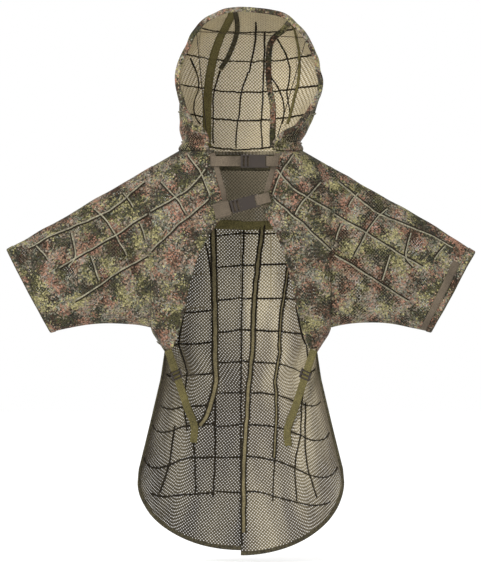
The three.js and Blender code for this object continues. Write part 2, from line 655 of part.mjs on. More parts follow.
// Webbing folded round the housing's end bar, with both ends sewn down at endX.
function femaleWebbing(endX, footDepth) {
  const inner = BUCKLE_HALF_THICK + BUCKLE_FIT;
  const outer = inner + WEBBING_THICK;
  const bend = BAR[0] - BUCKLE_FIT - WEBBING_THICK;
  const sewn = endX - SEWN_END;
  const loop = cut(webbing([[bend, -outer], [endX, -outer], [endX, outer], [bend, outer]]), [
    box([bend + WEBBING_THICK, -inner, -WEBBING_WIDTH], [sewn, inner, WEBBING_WIDTH]),
  ]);
  const half = WEBBING_WIDTH / 2;
  return join([loop, box([sewn, outer - 0.5, -half], [endX, outer + footDepth, half])]);
}

const UPPER_STRAP_X = 24.5;
const SEWN_END = 9; // length of the webbing that is sewn down
const upperStrap = new THREE.Group();
upperStrap.position.set(UPPER_STRAP_X, UPPER_STRAP_Y, UPPER_STRAP_Z);
add('upper_buckle_male', 'plastic', buckleMale(), upperStrap);
add('upper_buckle_female', 'plastic', buckleFemale(), upperStrap);
add('upper_strap_webbing_left', 'webbing', maleWebbing(-115, 8.1), upperStrap);
add('upper_strap_webbing_right', 'webbing', femaleWebbing(68, 4.6), upperStrap);

const LEFT_FOLD = { from: -72, to: -30, margin: 6.5 };
const RIGHT_FOLD = { from: 50, to: 79, margin: 4.5 };
const leftFront = WEB_BACK + 2.5; // leaves the male half room to slide in front of the fold
const loopBack = BUCKLE_HALF_THICK + BUCKLE_FIT + WEBBING_THICK;
const fold = ({ from, to, margin }, front) => {
  const half = WEBBING_WIDTH / 2 + margin;
  return box([from, front, -half], [to, FOLD_THICK, half]);
};
const lowerStrap = new THREE.Group();
lowerStrap.position.set(LOWER_STRAP.x, LOWER_STRAP_Y, LOWER_STRAP.z);
lowerStrap.rotation.y = -LOWER_STRAP.tilt;
add('lower_buckle_male', 'plastic', buckleMale(), lowerStrap);
add('lower_buckle_female', 'plastic', buckleFemale(), lowerStrap);
add('lower_strap_webbing_left', 'webbing', maleWebbing(LEFT_FOLD.from + 1, 2.2), lowerStrap);
add('lower_strap_webbing_right', 'webbing', femaleWebbing(RIGHT_FOLD.to - 3, 0.3), lowerStrap);
add('lower_strap_fold_left', 'webbing', fold(LEFT_FOLD, leftFront), lowerStrap);
add('lower_strap_fold_right', 'webbing', fold(RIGHT_FOLD, loopBack + 0.6), lowerStrap);
cape.add(upperStrap, lowerStrap);

// ---- Side straps, from the foot of each front panel back to the tail ----
const STRAP_END_U = 0.56;
const strapEndV = SIDE_STRAP_END_Z / (TAIL_WIDEST_Z - HEM_DROP * Math.sqrt(1 - STRAP_END_U ** 2));
const STRAP_FOOT_V = 0.035;
const STRAP_START = [0, 0, -3]; // from the middle of the front panel's foot to the start of the strap
function sideStrap() {
  const lift = -(CLOTH / 2 + LAY_GAP + SIDE_STRAP_THICK / 2);
  const landing = backSheet.at(STRAP_END_U, strapEndV, lift);
  const foot = backSheet.at(STRAP_END_U, strapEndV + STRAP_FOOT_V, lift);
  const start = frontSheet.at(0.5, 1).add(new THREE.Vector3(...STRAP_START));
  const along = landing.clone().sub(start).normalize();
  const normal = backSheet.normal(STRAP_END_U, strapEndV);
  const acrossAxis = normal.clone().cross(along).normalize();
  const outward = along.clone().cross(acrossAxis).normalize();
  const edges = [-1, 1].map((side) => acrossAxis.clone().multiplyScalar((side * SIDE_STRAP_WIDTH) / 2));
  const layer = (side) => edges.map((edge) => [[start, outward], [landing, normal], [foot, normal]]
    .map(([p, n]) => p.clone().add(edge).addScaledVector(n, (side * SIDE_STRAP_THICK) / 2)));
  return { geometry: slabGeometry(layer(1), layer(-1)), start, along, acrossAxis, outward };
}
const SLIDE = { length: 24, halfWidth: 14, halfThick: 3, place: 62 };
const { geometry: strapGeometry, start: strapStart, along: strapAlong, acrossAxis, outward } = sideStrap();
addPair('side_strap', 'tape', strapGeometry);

const slideSlot = [SIDE_STRAP_WIDTH / 2 + BUCKLE_FIT, SIDE_STRAP_THICK / 2 + BUCKLE_FIT];
const slideBody = cut(
  box([0, -SLIDE.halfWidth, -SLIDE.halfThick], [SLIDE.length, SLIDE.halfWidth, SLIDE.halfThick]),
  [
    box([-1, -slideSlot[0], -slideSlot[1]], [SLIDE.length + 1, slideSlot[0], slideSlot[1]]),
    box([3, -slideSlot[0], -SLIDE.halfThick - 1], [10, slideSlot[0], 0]),
    box([14, -slideSlot[0], -SLIDE.halfThick - 1], [21, slideSlot[0], 0]),
  ],
);
const slideFrame = new THREE.Matrix4().makeBasis(strapAlong, acrossAxis, outward);
slideFrame.setPosition(strapStart.clone().addScaledVector(strapAlong, SLIDE.place));
addPair('side_strap_slide', 'plastic', slideBody.applyMatrix4(slideFrame));

export default cape;
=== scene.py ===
"""A hooded camouflage net cape: printed net, sewn garnish cords, tapes, webbing and moulded buckles."""

import math

import bpy
import numpy as np
from bpy.props import FloatProperty, PointerProperty, StringProperty
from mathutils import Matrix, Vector


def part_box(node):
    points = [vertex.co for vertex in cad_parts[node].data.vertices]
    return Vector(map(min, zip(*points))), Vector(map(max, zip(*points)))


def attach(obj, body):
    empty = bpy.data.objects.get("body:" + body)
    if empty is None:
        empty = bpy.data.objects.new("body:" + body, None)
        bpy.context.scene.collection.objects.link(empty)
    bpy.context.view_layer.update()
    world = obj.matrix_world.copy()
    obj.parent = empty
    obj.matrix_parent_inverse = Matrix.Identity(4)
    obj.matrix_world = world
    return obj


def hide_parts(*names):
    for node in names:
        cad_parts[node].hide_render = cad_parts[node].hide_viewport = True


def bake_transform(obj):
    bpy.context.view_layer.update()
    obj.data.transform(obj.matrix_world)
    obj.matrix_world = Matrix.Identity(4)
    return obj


bl_info = {
    "name": "Camouflage Net Cape",
    "version": (1, 0, 0),
    "blender": (4, 5, 0),
    "location": "View3D > Sidebar > Cape",
    "description": "Dresses a hooded net cape in printed net, sewn cords, webbing and moulded buckles",
    "category": "Add Mesh",
}

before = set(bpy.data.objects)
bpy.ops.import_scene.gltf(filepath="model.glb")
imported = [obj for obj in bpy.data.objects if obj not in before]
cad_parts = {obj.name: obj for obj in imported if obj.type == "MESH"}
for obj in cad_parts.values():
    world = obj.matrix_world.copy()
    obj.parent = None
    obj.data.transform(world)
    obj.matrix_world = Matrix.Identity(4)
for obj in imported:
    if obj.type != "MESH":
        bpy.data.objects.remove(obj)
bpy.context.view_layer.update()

# ---- The cape's outline, in metres ----
SIDES = (("right", 1), ("left", -1))
NECK_X, NECK_Y, NECK_DEPTH = 0.154, -0.005, 0.08
NECK_END = math.radians(150)
SHOULDER_SLOPE = math.tan(math.radians(30))
ARMHOLE_X = 0.225
ARMHOLE_TOP = -SHOULDER_SLOPE * (ARMHOLE_X - NECK_X)
ARMHOLE_BOTTOM = ARMHOLE_TOP - 0.399
TAIL_WIDEST_Z, TAIL_X = -0.829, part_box("back_panel_right")[1].x
HOOD_X, HOOD_TOP = 0.179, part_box("hood_centre_panel")[1].z - 0.006
CUFF_TOP, CUFF_BOTTOM = (0.583, -0.249), (0.474, -0.452)
FRONT_TIP_Z = -0.494
UPPER_STRAP = (np.array([0.0245, -0.1026, -0.028]), 0.0)
LOWER_STRAP = (np.array([0.0, -0.1122, -0.136]), math.radians(15))
# The chest straps by the buckle half they end in, with how far along each its foot is sewn.
STRAPS = {"upper_buckle_male": (UPPER_STRAP, -0.098), "lower_buckle_male": (LOWER_STRAP, -0.066)}
CAMERA_AWAY, HALF_VIEW = 12.0, 0.7025
FLOOR_Z, FLOOR_R = -1.035, 14.0
# How far a cord stands off the outside, and a tape and the stitching off the inside.
RAISED, SUNK, STITCHED = 0.0026, -0.0022, -0.0016
STEP = 0.004  # between the points of a sewn line
TAPE_THICK = 0.001
MATERIALS = {}


def length(name, description, default):
    return FloatProperty(name=name, description=description, default=default, unit="LENGTH")


def colour(name, description, default):
    return StringProperty(name=name, description=description, default=default)


class CapeSizes(bpy.types.PropertyGroup):
    """Sizes of the cape's cloth and cords"""

    net_pitch: length("Net Pitch", "Distance between holes of the net", 0.006)
    cloth: length("Cloth", "Thickness of the net", 0.0012)
    fold: length("Folds", "Depth of the soft folds", 0.009)
    cord: length("Cord", "Width of the sewn garnish cord", 0.0036)
    stitch: length("Zigzag", "Width of the zigzag stitching inside", 0.0056)
    dot: length("Print Dot", "Size of one dot of the print", 0.0036)


class CapeColours(bpy.types.PropertyGroup):
    """Colours of the cape, as sRGB hex values"""

    reverse: colour("Reverse", "Unprinted side of the net", "#9d9278")
    # Reverse Shade is partly the print showing through and partly painted shade of the soft folds.
    shade: colour("Reverse Shade", "Print that shows through", "#655c4c")
    # The yoke's dark tone is partly painted shade, for the shadow inside the back of the neck.
    lining: colour("Lining", "Net of the yoke", "#696150")
    hood: colour("Hood Reverse", "Unprinted side of the hood's net", "#ab9e80")
    seam: colour("Seam", "Khaki tape over the tail's seams", "#6a6146")
    tape: colour("Tape", "Olive seam tape", "#595231")
    binding: colour("Binding", "Dark edge binding", "#3b3626")
    cord: colour("Cord", "Garnish cord", "#7e7966")
    # The thread colour is nearly black partly as painted shade: inside it also stands for the shadowed
    # cords seen through the net, and outside it draws the painted shadow beside each cord.
    stitching: colour("Stitching", "Thread seen inside", "#211b10")
    webbing: colour("Webbing", "Strap webbing", "#584e41")
    plastic: colour("Plastic", "Moulded buckles", "#21160b")


def sizes():
    return bpy.context.scene.cape_sizes


def colours():
    return bpy.context.scene.cape_colours


# ---- Numbers ----
def smooth(low, high, x):
    t = np.clip((x - low) / (high - low), 0, 1)
    return t * t * (3 - 2 * t)


def ripple(points, cell, seed):
    """Smooth noise from -1 to 1, the same for every piece at one place; cell is the size of a ripple."""
    table = np.random.default_rng(seed).uniform(-1, 1, (32, 32, 32))
    place = points / np.broadcast_to(np.asarray(cell, float), (3,)) + 100.37
    base = np.floor(place).astype(int)
    part = place - base
    part = part * part * (3 - 2 * part)
    value = 0
    for corner in np.ndindex(2, 2, 2):
        weight = np.prod(np.where(np.array(corner) == 1, part, 1 - part), axis=-1)
        i, j, k = np.moveaxis((base + corner) % 32, -1, 0)
        value = value + weight * table[i, j, k]
    return value


def unit(vectors):
    return vectors / np.maximum(np.linalg.norm(vectors, axis=-1, keepdims=True), 1e-12)


def hermite(t, a, b, slope_a, slope_b):
    """Between a and b at t, with the slopes that it leaves and arrives with."""
    return ((2 * t**3 - 3 * t**2 + 1) * a + (t**3 - 2 * t**2 + t) * slope_a
            + (3 * t**2 - 2 * t**3) * b + (t**3 - t**2) * slope_b)


def travelled(points):
    """How far along the path each point is."""
    return np.concatenate([[0], np.cumsum(np.linalg.norm(np.diff(points, axis=0), axis=1))])


def grid(us, vs):
    return np.meshgrid(us, vs, indexing="ij")


def curve(points, count):
    """count points along a smooth curve through the given ones, evenly spaced."""
    points = np.asarray(points, float)
    steps = travelled(points)
    slope = np.gradient(points, steps, axis=0)
    fine = np.linspace(0, steps[-1], count)
    k = np.clip(np.searchsorted(steps, fine, side="right") - 1, 0, len(steps) - 2)
    gap = (steps[k + 1] - steps[k])[:, None]
    t = (fine - steps[k])[:, None] / gap
    return hermite(t, points[k], points[k + 1], gap * slope[k], gap * slope[k + 1])


def evenly(points, step):
    """The same path with a point every step."""
    steps = travelled(points)
    fine = np.linspace(0, steps[-1], max(3, int(steps[-1] / step) + 1))
    return np.stack([np.interp(fine, steps, points[:, k]) for k in range(points.shape[1])], -1), fine


def even_path(path, step):
    """The same path of points and normals with a point every step, and how far along each is."""
    joined, place = evenly(np.concatenate(path, -1), step)
    return joined[:, :3], unit(joined[:, 3:]), place


def steps_down(u, first, last, count):
    """Places at one u from first to last."""
    return [(u, v) for v in np.linspace(first, last, count)]


def steps_across(v, first, last, count):
    """Places at one v from first to last."""
    return [(u, v) for u in np.linspace(first, last, count)]


# ---- Shapes of the panels ----
def super_round(share, power=2.2):
    return np.power(np.maximum(0, 1 - np.power(np.clip(share, 0, 1), power)), 1 / power)


def shoulder(x):
    return -SHOULDER_SLOPE * np.maximum(0, x - NECK_X)


def neck_depth(x):
    return NECK_DEPTH * np.sqrt(np.maximum(0, 1 - (x / NECK_X) ** 2))


def armhole_depth(z):
    middle, half = (ARMHOLE_TOP + ARMHOLE_BOTTOM) / 2, (ARMHOLE_TOP - ARMHOLE_BOTTOM) / 2
    return 0.062 * np.sqrt(np.maximum(0, 1 - ((z - middle) / half) ** 2))


def side_width(z):
    return np.interp(z, [TAIL_WIDEST_Z, -0.796, -0.572, -0.5, ARMHOLE_BOTTOM],
                     [TAIL_X, 0.2555, 0.1994, 0.188, ARMHOLE_X])


def round_over(z, top):
    return np.sqrt(1 - (1 - np.clip((top - z) / 0.11, 0, 1)) ** 2)


def back_shape(u, v, side):
    """u runs from the centre seam out to the armhole and side edge, v from the top down."""
    u = np.clip(u, 0, 1)
    edge_z = ARMHOLE_TOP + (TAIL_WIDEST_Z - ARMHOLE_TOP) * v
    x = u * side_width(edge_z)
    top = shoulder(x)
    drop = 0.187 if side > 0 else 0.174  # the left half of the hem hangs a little higher
    z = top + (TAIL_WIDEST_Z - drop * np.sqrt(np.maximum(0, 1 - u * u)) - top) * v
    lean = np.interp(edge_z, [TAIL_WIDEST_Z, -0.5, ARMHOLE_BOTTOM], [0.048, 0.008, 0])
    edge = np.where(edge_z > ARMHOLE_BOTTOM, armhole_depth(edge_z), lean)
    full = edge + (0.103 - edge) * super_round(u)
    share = np.where(u >= 1, 1, round_over(z, top))
    return np.stack([side * x, NECK_Y + neck_depth(x) + (full - neck_depth(x)) * share, z], -1)


def front_edge(z):
    return np.interp(z, [FRONT_TIP_Z, -0.45, -0.4, -0.33, -0.26, -0.21, -0.16, -0.13, -0.105, -0.05, 0],
                     [0.1717, 0.154, 0.141, 0.127, 0.107, 0.084, 0.051, 0.044, 0.047, 0.062, 0.077])


def front_shape(u, v, side):
    """u runs from the armhole and side edge in to the open front edge, v from the top down."""
    u = np.clip(u, 0, 1)
    side_z = ARMHOLE_TOP + (FRONT_TIP_Z - ARMHOLE_TOP) * v
    inner_z = FRONT_TIP_Z * v
    lean = 0.01 * (1 - smooth(0.12, 0.3, -inner_z)) * side * u  # the throat sits a little to the right
    x = side_width(side_z) * (1 - u) + front_edge(inner_z) * u + lean
    top = shoulder(x)
    z = top + (FRONT_TIP_Z - top) * v
    edge = np.where(side_z > ARMHOLE_BOTTOM, armhole_depth(side_z), 0)
    chest = np.interp(z, [FRONT_TIP_Z, -0.35, 0], [0.0564, 0.094, 0.094])
    full = edge + (chest - edge) * super_round(x / side_width(side_z))
    share = np.where(u <= 0, 1, round_over(z, top))
    return np.stack([side * x, NECK_Y - neck_depth(x) - (full - neck_depth(x)) * share, z], -1)


def sleeve_shape(u, v, side):
    """u is the way round, from the top to the front; v runs from the armhole to the cuff."""
    arch = [(1 - v) ** 2, 2 * v * (1 - v), v * v]
    foot_x = arch[0] * ARMHOLE_X + arch[1] * 0.33 + arch[2] * CUFF_BOTTOM[0]
    foot_z = arch[0] * ARMHOLE_BOTTOM - arch[1] * 0.412 + arch[2] * CUFF_BOTTOM[1]
    turn = -2 * math.pi * u
    share = (1 + np.cos(turn)) / 2
    x = foot_x + (ARMHOLE_X + (CUFF_TOP[0] - ARMHOLE_X) * v - foot_x) * share
    z = foot_z + (ARMHOLE_TOP + (CUFF_TOP[1] - ARMHOLE_TOP) * v - foot_z) * share
    return np.stack([side * x, NECK_Y + (0.062 - 0.01 * v) * np.sin(turn), z], -1)


BRIM = np.array([
    (0, -0.072, 1), (0.42, -0.071, 0.965), (0.72, -0.07, 0.85), (0.93, -0.07, 0.64), (1, -0.072, 0.42),
    (0.94, -0.078, 0.26), (0.74, -0.086, 0.175), (0.56, -0.088, 0.12), (0.46, -0.086, 0.045)])


def brim(share):
    """The hood's brim from the crown (0) to the throat (1)."""
    place = np.clip(share, 0, 1) * (len(BRIM) - 1)
    k = np.minimum(place.astype(int), len(BRIM) - 2)
    t = (place - k)[..., None]
    points = BRIM * [HOOD_X, 1, HOOD_TOP]
    slope = np.gradient(points, axis=0)
    slope[0] = [points[1][0], 0, 0]
    return hermite(t, points[k], points[k + 1], slope[k], slope[k + 1])


def hood_shape(u, v, _side=1):
    """u runs from the right of the throat (-1) over the back (0) to the left (1), v up to the brim."""
    u = np.clip(u, -1, 1)
    side = np.abs(u)
    turn = side * NECK_END
    out = np.stack([np.sin(turn), np.cos(turn), 0 * turn], -1)
    seam = out * [NECK_X, NECK_DEPTH, 0] + [0, NECK_Y, 0]
    edge = brim(side)
    full = (1 - side**2)[..., None]
    rise = seam + 0.088 * full * out + np.array([0, 0, HOOD_TOP]) * (0.02 + 0.33 * full)
    crown = edge + [0.006, 0.01, 0] + 0.22 * full * np.array([0, 1, 0])
    t = np.asarray(v, float)[..., None]
    point = (1 - t)**3 * seam + 3 * (1 - t)**2 * t * rise + 3 * (1 - t) * t**2 * crown + t**3 * edge
    point[..., 0] *= -np.sign(u)
    low = smooth(0.0, 0.025, point[..., 2]) * smooth(0.19, 0.06, point[..., 2])
    # It is drawn in above the neck, and worn a little to the right.
    point[..., 0] *= 1 - 0.13 * low * smooth(0.12, 0.17, np.abs(point[..., 0]))
    point[..., 0] += 0.02 * smooth(0.0, 0.14, point[..., 2])
    return point


def fold_depth(points):
    """How far the folds push the cloth out at each place."""
    x, z = np.abs(points[..., 0]), points[..., 2]
    tail = smooth(-0.15, -0.55, z) * smooth(0.27, 0.2, x)
    arm = smooth(ARMHOLE_X - 0.08, ARMHOLE_X + 0.06, x)
    drag = np.stack([x + 0.75 * z, points[..., 1], z - 0.5 * x], -1)
    chest = np.stack([points[..., 0] - 0.2 * z, points[..., 1], z], -1)
    waves = (tail * (1.3 * ripple(points, (0.07, 9, 0.6), 3) + 0.3 * ripple(points, (0.035, 9, 0.2), 5))
             + arm * (1.5 * ripple(drag, (0.045, 0.3, 0.16), 11) + 0.6 * ripple(points, 0.034, 12))
             + (1 - arm) * (0.25 + 0.7 * (1 - tail)) * ripple(chest, (0.04, 0.4, 0.16), 21)
             + 0.22 * ripple(points, 0.026, 22))
    return sizes().fold * waves * smooth(0.0, 0.03, -z)


class Sheet:
    """A folded sheet of the cape, with the places of the lines that are sewn along it."""

    def __init__(self, shape, side=1, window=(0, 1, 0, 1)):
        self.shape, self.side, self.window = shape, side, window
        self.table = None

    def points(self, u, v):
        first = min(self.window[2], 0)
        points = self.shape(np.asarray(u, float), np.clip(v, first, 1), self.side)
        if self.shape is hood_shape:
            way = unit(points - [0, NECK_Y, 0.12])
            soft = 0.5 * ripple(points, (0.06, 0.08, 0.08), 31) + 0.3 * ripple(points, 0.03, 32)
            return points + way * (sizes().fold * soft * smooth(0.0, 0.04, points[..., 2]))[..., None]
        away = (points[..., 1] - NECK_Y) / 0.03
        points[..., 1] += fold_depth(points) * np.clip(away, -1, 1)
        # The sleeves' outline sags a little between the cords.
        arm = smooth(ARMHOLE_X, ARMHOLE_X + 0.06, np.abs(points[..., 0]))
        points[..., 2] += 0.5 * sizes().fold * arm * ripple(points, 0.055, 31)
        return points

    def at(self, u, v, lift=0.0):
        """Points and outward normals, lifted off the sheet."""
        u, v = np.broadcast_arrays(np.asarray(u, float), np.asarray(v, float))
        step = 2e-3
        along = self.points(u + step, v) - self.points(u - step, v)
        down = self.points(u, v + step) - self.points(u, v - step)
        normal = unit(np.cross(along, down) * self.side)
        return self.points(u, v) + normal * lift, normal

    def find(self, x, z):
        """u and v of the place seen from the front at x and z."""
        if self.table is None:
            u0, u1, v0, v1 = self.window
            u, v = grid(np.linspace(u0, u1, 260), np.linspace(v0, v1, 320))
            self.table = (u, v, self.points(u, v))
        u, v, points = self.table
        k = np.argmin((points[..., 0] - x)**2 + (points[..., 2] - z)**2)
        return u.flat[k], v.flat[k]

    def route(self, places, step=STEP, lift=0.0):
        """Points and normals along a smooth line through places given as x and z in millimetres."""
        return self.line([self.find(x / 1000, z / 1000) for x, z in places], step, lift)

    def line(self, uvs, step=STEP, lift=0.0):
        """Points and normals along a smooth line through places given as u and v."""
        fine = curve(uvs, 160) if len(uvs) > 2 else np.linspace(uvs[0], uvs[-1], 160)
        place = travelled(self.points(fine[:, 0], fine[:, 1]))
        even = np.linspace(0, place[-1], max(4, int(place[-1] / step)))
        u, v = (np.interp(even, place, fine[:, k]) for k in range(2))
        return self.at(u, v, lift)


# ---- Materials ----
def linear(code):
    """A linear colour from an sRGB hex value."""
    parts = [int(code[k:k + 2], 16) / 255 for k in (1, 3, 5)]
    return (*[c / 12.92 if c <= 0.04045 else ((c + 0.055) / 1.055) ** 2.4 for c in parts], 1.0)


def add(tree, kind, inputs=None, **settings):
    """Adds a node with its settings; inputs maps a socket to a value or to the socket that feeds it."""
    node = tree.nodes.new(kind)
    for key, value in settings.items():
        setattr(node, key, value)
    for key, value in (inputs or {}).items():
        if isinstance(value, bpy.types.NodeSocket):
            tree.links.new(value, node.inputs[key])
        else:
            node.inputs[key].default_value = value
    return node


def new_material(name):
    material = bpy.data.materials.new(name)
    material.use_nodes = True
    material.node_tree.nodes.clear()
    return material, material.node_tree


def colour_steps(tree, factor, stops, interpolation="CONSTANT"):
    ramp = add(tree, "ShaderNodeValToRGB", {"Fac": factor})
    ramp.color_ramp.interpolation = interpolation
    while len(ramp.color_ramp.elements) < len(stops):
        ramp.color_ramp.elements.new(0.5)
    for element, (place, code) in zip(ramp.color_ramp.elements, stops):
        element.position, element.color = place, linear(code)
    return ramp.outputs["Color"]


def mix(tree, factor, a, b, kind="MIX"):
    inputs = {0: factor, 6: a, 7: b}
    return add(tree, "ShaderNodeMix", inputs, data_type="RGBA", blend_type=kind).outputs[2]


def multiply(tree, a, b):
    return mix(tree, 1.0, a, b, "MULTIPLY")


def product(tree, a, b):
    return add(tree, "ShaderNodeMath", {0: a, 1: b}, operation="MULTIPLY").outputs["Value"]


def surface(tree, inputs):
    shader = add(tree, "ShaderNodeBsdfPrincipled", inputs)
    add(tree, "ShaderNodeOutputMaterial", {"Surface": shader.outputs["BSDF"]})


def bumps(tree, height, strength, depth):
    inputs = {"Height": height, "Strength": strength, "Distance": depth}
    return add(tree, "ShaderNodeBump", inputs).outputs["Normal"]


def attribute(tree, name):
    return add(tree, "ShaderNodeAttribute", attribute_name=name).outputs["Vector"]


def noise(tree, place, scale, detail):
    inputs = {"Vector": place, "Scale": scale, "Detail": detail}
    return add(tree, "ShaderNodeTexNoise", inputs).outputs["Fac"]


def vector(tree, operation, a, b):
    inputs = {0: a, "Scale" if operation == "SCALE" else 1: b}
    return add(tree, "ShaderNodeVectorMath", inputs, operation=operation).outputs["Vector"]


def spread(tree, value, low, high, to_low=0.0, to_high=1.0):
    """The value, with low to high drawn out to to_low to to_high."""
    return add(tree, "ShaderNodeMapRange", {
        "Value": value, "From Min": low, "From Max": high, "To Min": to_low,
        "To Max": to_high}).outputs["Result"]


def net_holes(tree, openness):
    """How high the threads stand and how solid the net is. The holes of the real net stand in a
    diagonal lattice about 3 mm apart; they are drawn coarser so that they show."""
    turned = add(tree, "ShaderNodeMapping", {
        "Vector": attribute(tree, "cloth"), "Rotation": (0, 0, math.radians(45))})
    height = add(tree, "ShaderNodeTexVoronoi", {
        "Vector": turned.outputs["Vector"], "Scale": 1 / sizes().net_pitch, "Randomness": 0.1},
        voronoi_dimensions="2D").outputs["Distance"]
    return height, spread(tree, height, openness - 0.05, openness + 0.05)


def cloth_shader(tree, colour, height, alpha=None, roughness=0.88, depth=0.0008):
    inputs = {"Base Color": colour, "Roughness": roughness, "Normal": bumps(tree, height, 0.6, depth),
              "Specular IOR Level": 0.25}
    if alpha is not None:
        inputs["Alpha"] = alpha
    surface(tree, inputs)


def printed_net(name, openness):
    """Warp-knitted polyester net, screen printed with dots of woodland colours: matt, open to the
    light, and broken into specks at every edge between two colours."""
    material, tree = new_material(name)
    dots = add(tree, "ShaderNodeTexVoronoi", {
        "Vector": attribute(tree, "rest"), "Scale": 1 / sizes().dot, "Randomness": 1.0})
    middle = dots.outputs["Position"]
    jitter = vector(tree, "SUBTRACT", dots.outputs["Color"], (0.5, 0.5, 0.5))
    spot = vector(tree, "ADD", middle, vector(tree, "SCALE", jitter, 0.022))
    tone = colour_steps(tree, noise(tree, spot, 27.0, 1.0), [
        (0.0, "#725445"), (0.4, "#6f5e4d"), (0.44, "#665c53"), (0.49, "#5e5f53"), (0.535, "#6e6555"),
        (0.575, "#77714f")])
    far = vector(tree, "ADD", spot, (7.3, 2.1, 0.4))
    dark = colour_steps(tree, noise(tree, far, 25.0, 1.0), [
        (0.0, "#ffffff"), (0.44, "#dcdcd6"), (0.53, "#777a70")])
    speck = add(tree, "ShaderNodeTexWhiteNoise", {"Vector": middle}).outputs["Value"]
    colour = multiply(tree, multiply(tree, tone, dark), spread(tree, speck, 0.0, 1.0, 0.4, 1.95))
    height, solid = net_holes(tree, openness)
    cloth_shader(tree, colour, height, solid)
    return material


def reverse_net(name, light, dark, openness, painted_shade_factor=1.0):
    """The back of the net, where the print only shows through: dull khaki threads round small holes,
    with painted shade of soft folds and painted light in the holes.
    """
    material, tree = new_material(name)
    long_place = add(tree, "ShaderNodeMapping", {
        "Vector": attribute(tree, "cloth"), "Scale": (9.0, 2.2, 1.0)})
    # Painted shade: a broad noise, stretched along the cloth, mixes the light and dark tones for the
    # shade of soft vertical folds as well as the print showing through.
    fold_shade_cloud = noise(tree, long_place.outputs["Vector"], 1.0, 2.0)
    base = mix(tree, spread(tree, fold_shade_cloud, 0.4, 0.6), linear(dark), linear(light))
    # Painted shade: the reverse is darkened on the left half of the cape and towards the bottom,
    # standing in for the shade of closer folds that let less light through.
    place = add(tree, "ShaderNodeSeparateXYZ", {0: attribute(tree, "rest")})
    near = spread(tree, place.outputs["X"], 0.0, 0.02, painted_shade_factor, 1.0)
    low = spread(tree, place.outputs["Z"], -0.4, -0.8, 1.0, painted_shade_factor ** 0.8)
    painted_shade = product(tree, near, low)
    height, solid = net_holes(tree, openness)
    # Painted light: the tone is lifted up to twice near the middle of each hole, for light seen through
    # the net, and dimmed on the threads between.
    thread = spread(tree, height, 0.2, 0.6, 2.0, 0.35)
    cloth_shader(tree, multiply(tree, multiply(tree, base, painted_shade), thread), height, solid)
    return material


def woven(name, code, thread, contrast, roughness=0.85):
    """Woven polyester: threads that catch the light one by one, and a tone that wear has made uneven."""
    material, tree = new_material(name)
    place = add(tree, "ShaderNodeTexCoord").outputs["Object"]
    weave = noise(tree, place, 1 / thread, 1.0)
    fine = spread(tree, weave, 0.35, 0.65, 1 - contrast, 1 + contrast)
    age = spread(tree, noise(tree, place, 22.0, 2.0), 0.3, 0.7, 0.8, 1.2)
    tone = multiply(tree, linear(code), product(tree, fine, age))
    cloth_shader(tree, tone, weave, roughness=roughness, depth=0.0006)
    return material


def moulded_acetal():
    """Injection-moulded acetal: satin, with the fine grain of a spark-eroded mould."""
    material, tree = new_material("moulded_acetal")
    place = add(tree, "ShaderNodeTexCoord").outputs["Object"]
    tone = spread(tree, noise(tree, place, 60.0, 3.0), 0.3, 0.7, 0.85, 1.15)
    grain = noise(tree, place, 1200.0, 2.0)
    surface(tree, {
        "Base Color": multiply(tree, linear(colours().plastic), tone),
        "Roughness": 0.45, "IOR": 1.48, "Normal": bumps(tree, grain, 0.3, 0.0002)})
    return material


def studio_white():
    """Matt white studio floor."""
    material, tree = new_material("studio_white")
    surface(tree, {
        "Base Color": (0.95, 0.95, 0.95, 1), "Roughness": 1.0, "Emission Color": (1, 1, 1, 1),
        "Emission Strength": 0.2})
    return material


# ---- Meshes ----
def store(mesh, name, values):
    places = mesh.attributes.new(name, "FLOAT_VECTOR", "POINT")
    places.data.foreach_set("vector", np.ascontiguousarray(values, np.float32).ravel())


def build_mesh(name, vertices, faces, materials, slots=None, cloth_place=None):
    mesh = bpy.data.meshes.new(name)
    mesh.from_pydata(vertices, [], faces)
    for material in materials:
        mesh.materials.append(MATERIALS[material])
    if slots is not None:
        mesh.polygons.foreach_set("material_index", slots)
    mesh.polygons.foreach_set("use_smooth", [True] * len(mesh.polygons))
    store(mesh, "rest", vertices)
    if cloth_place is not None:
        store(mesh, "cloth", cloth_place)
    mesh.update()
    thing = bpy.data.objects.new(name, mesh)
    bpy.context.scene.collection.objects.link(thing)
    return thing


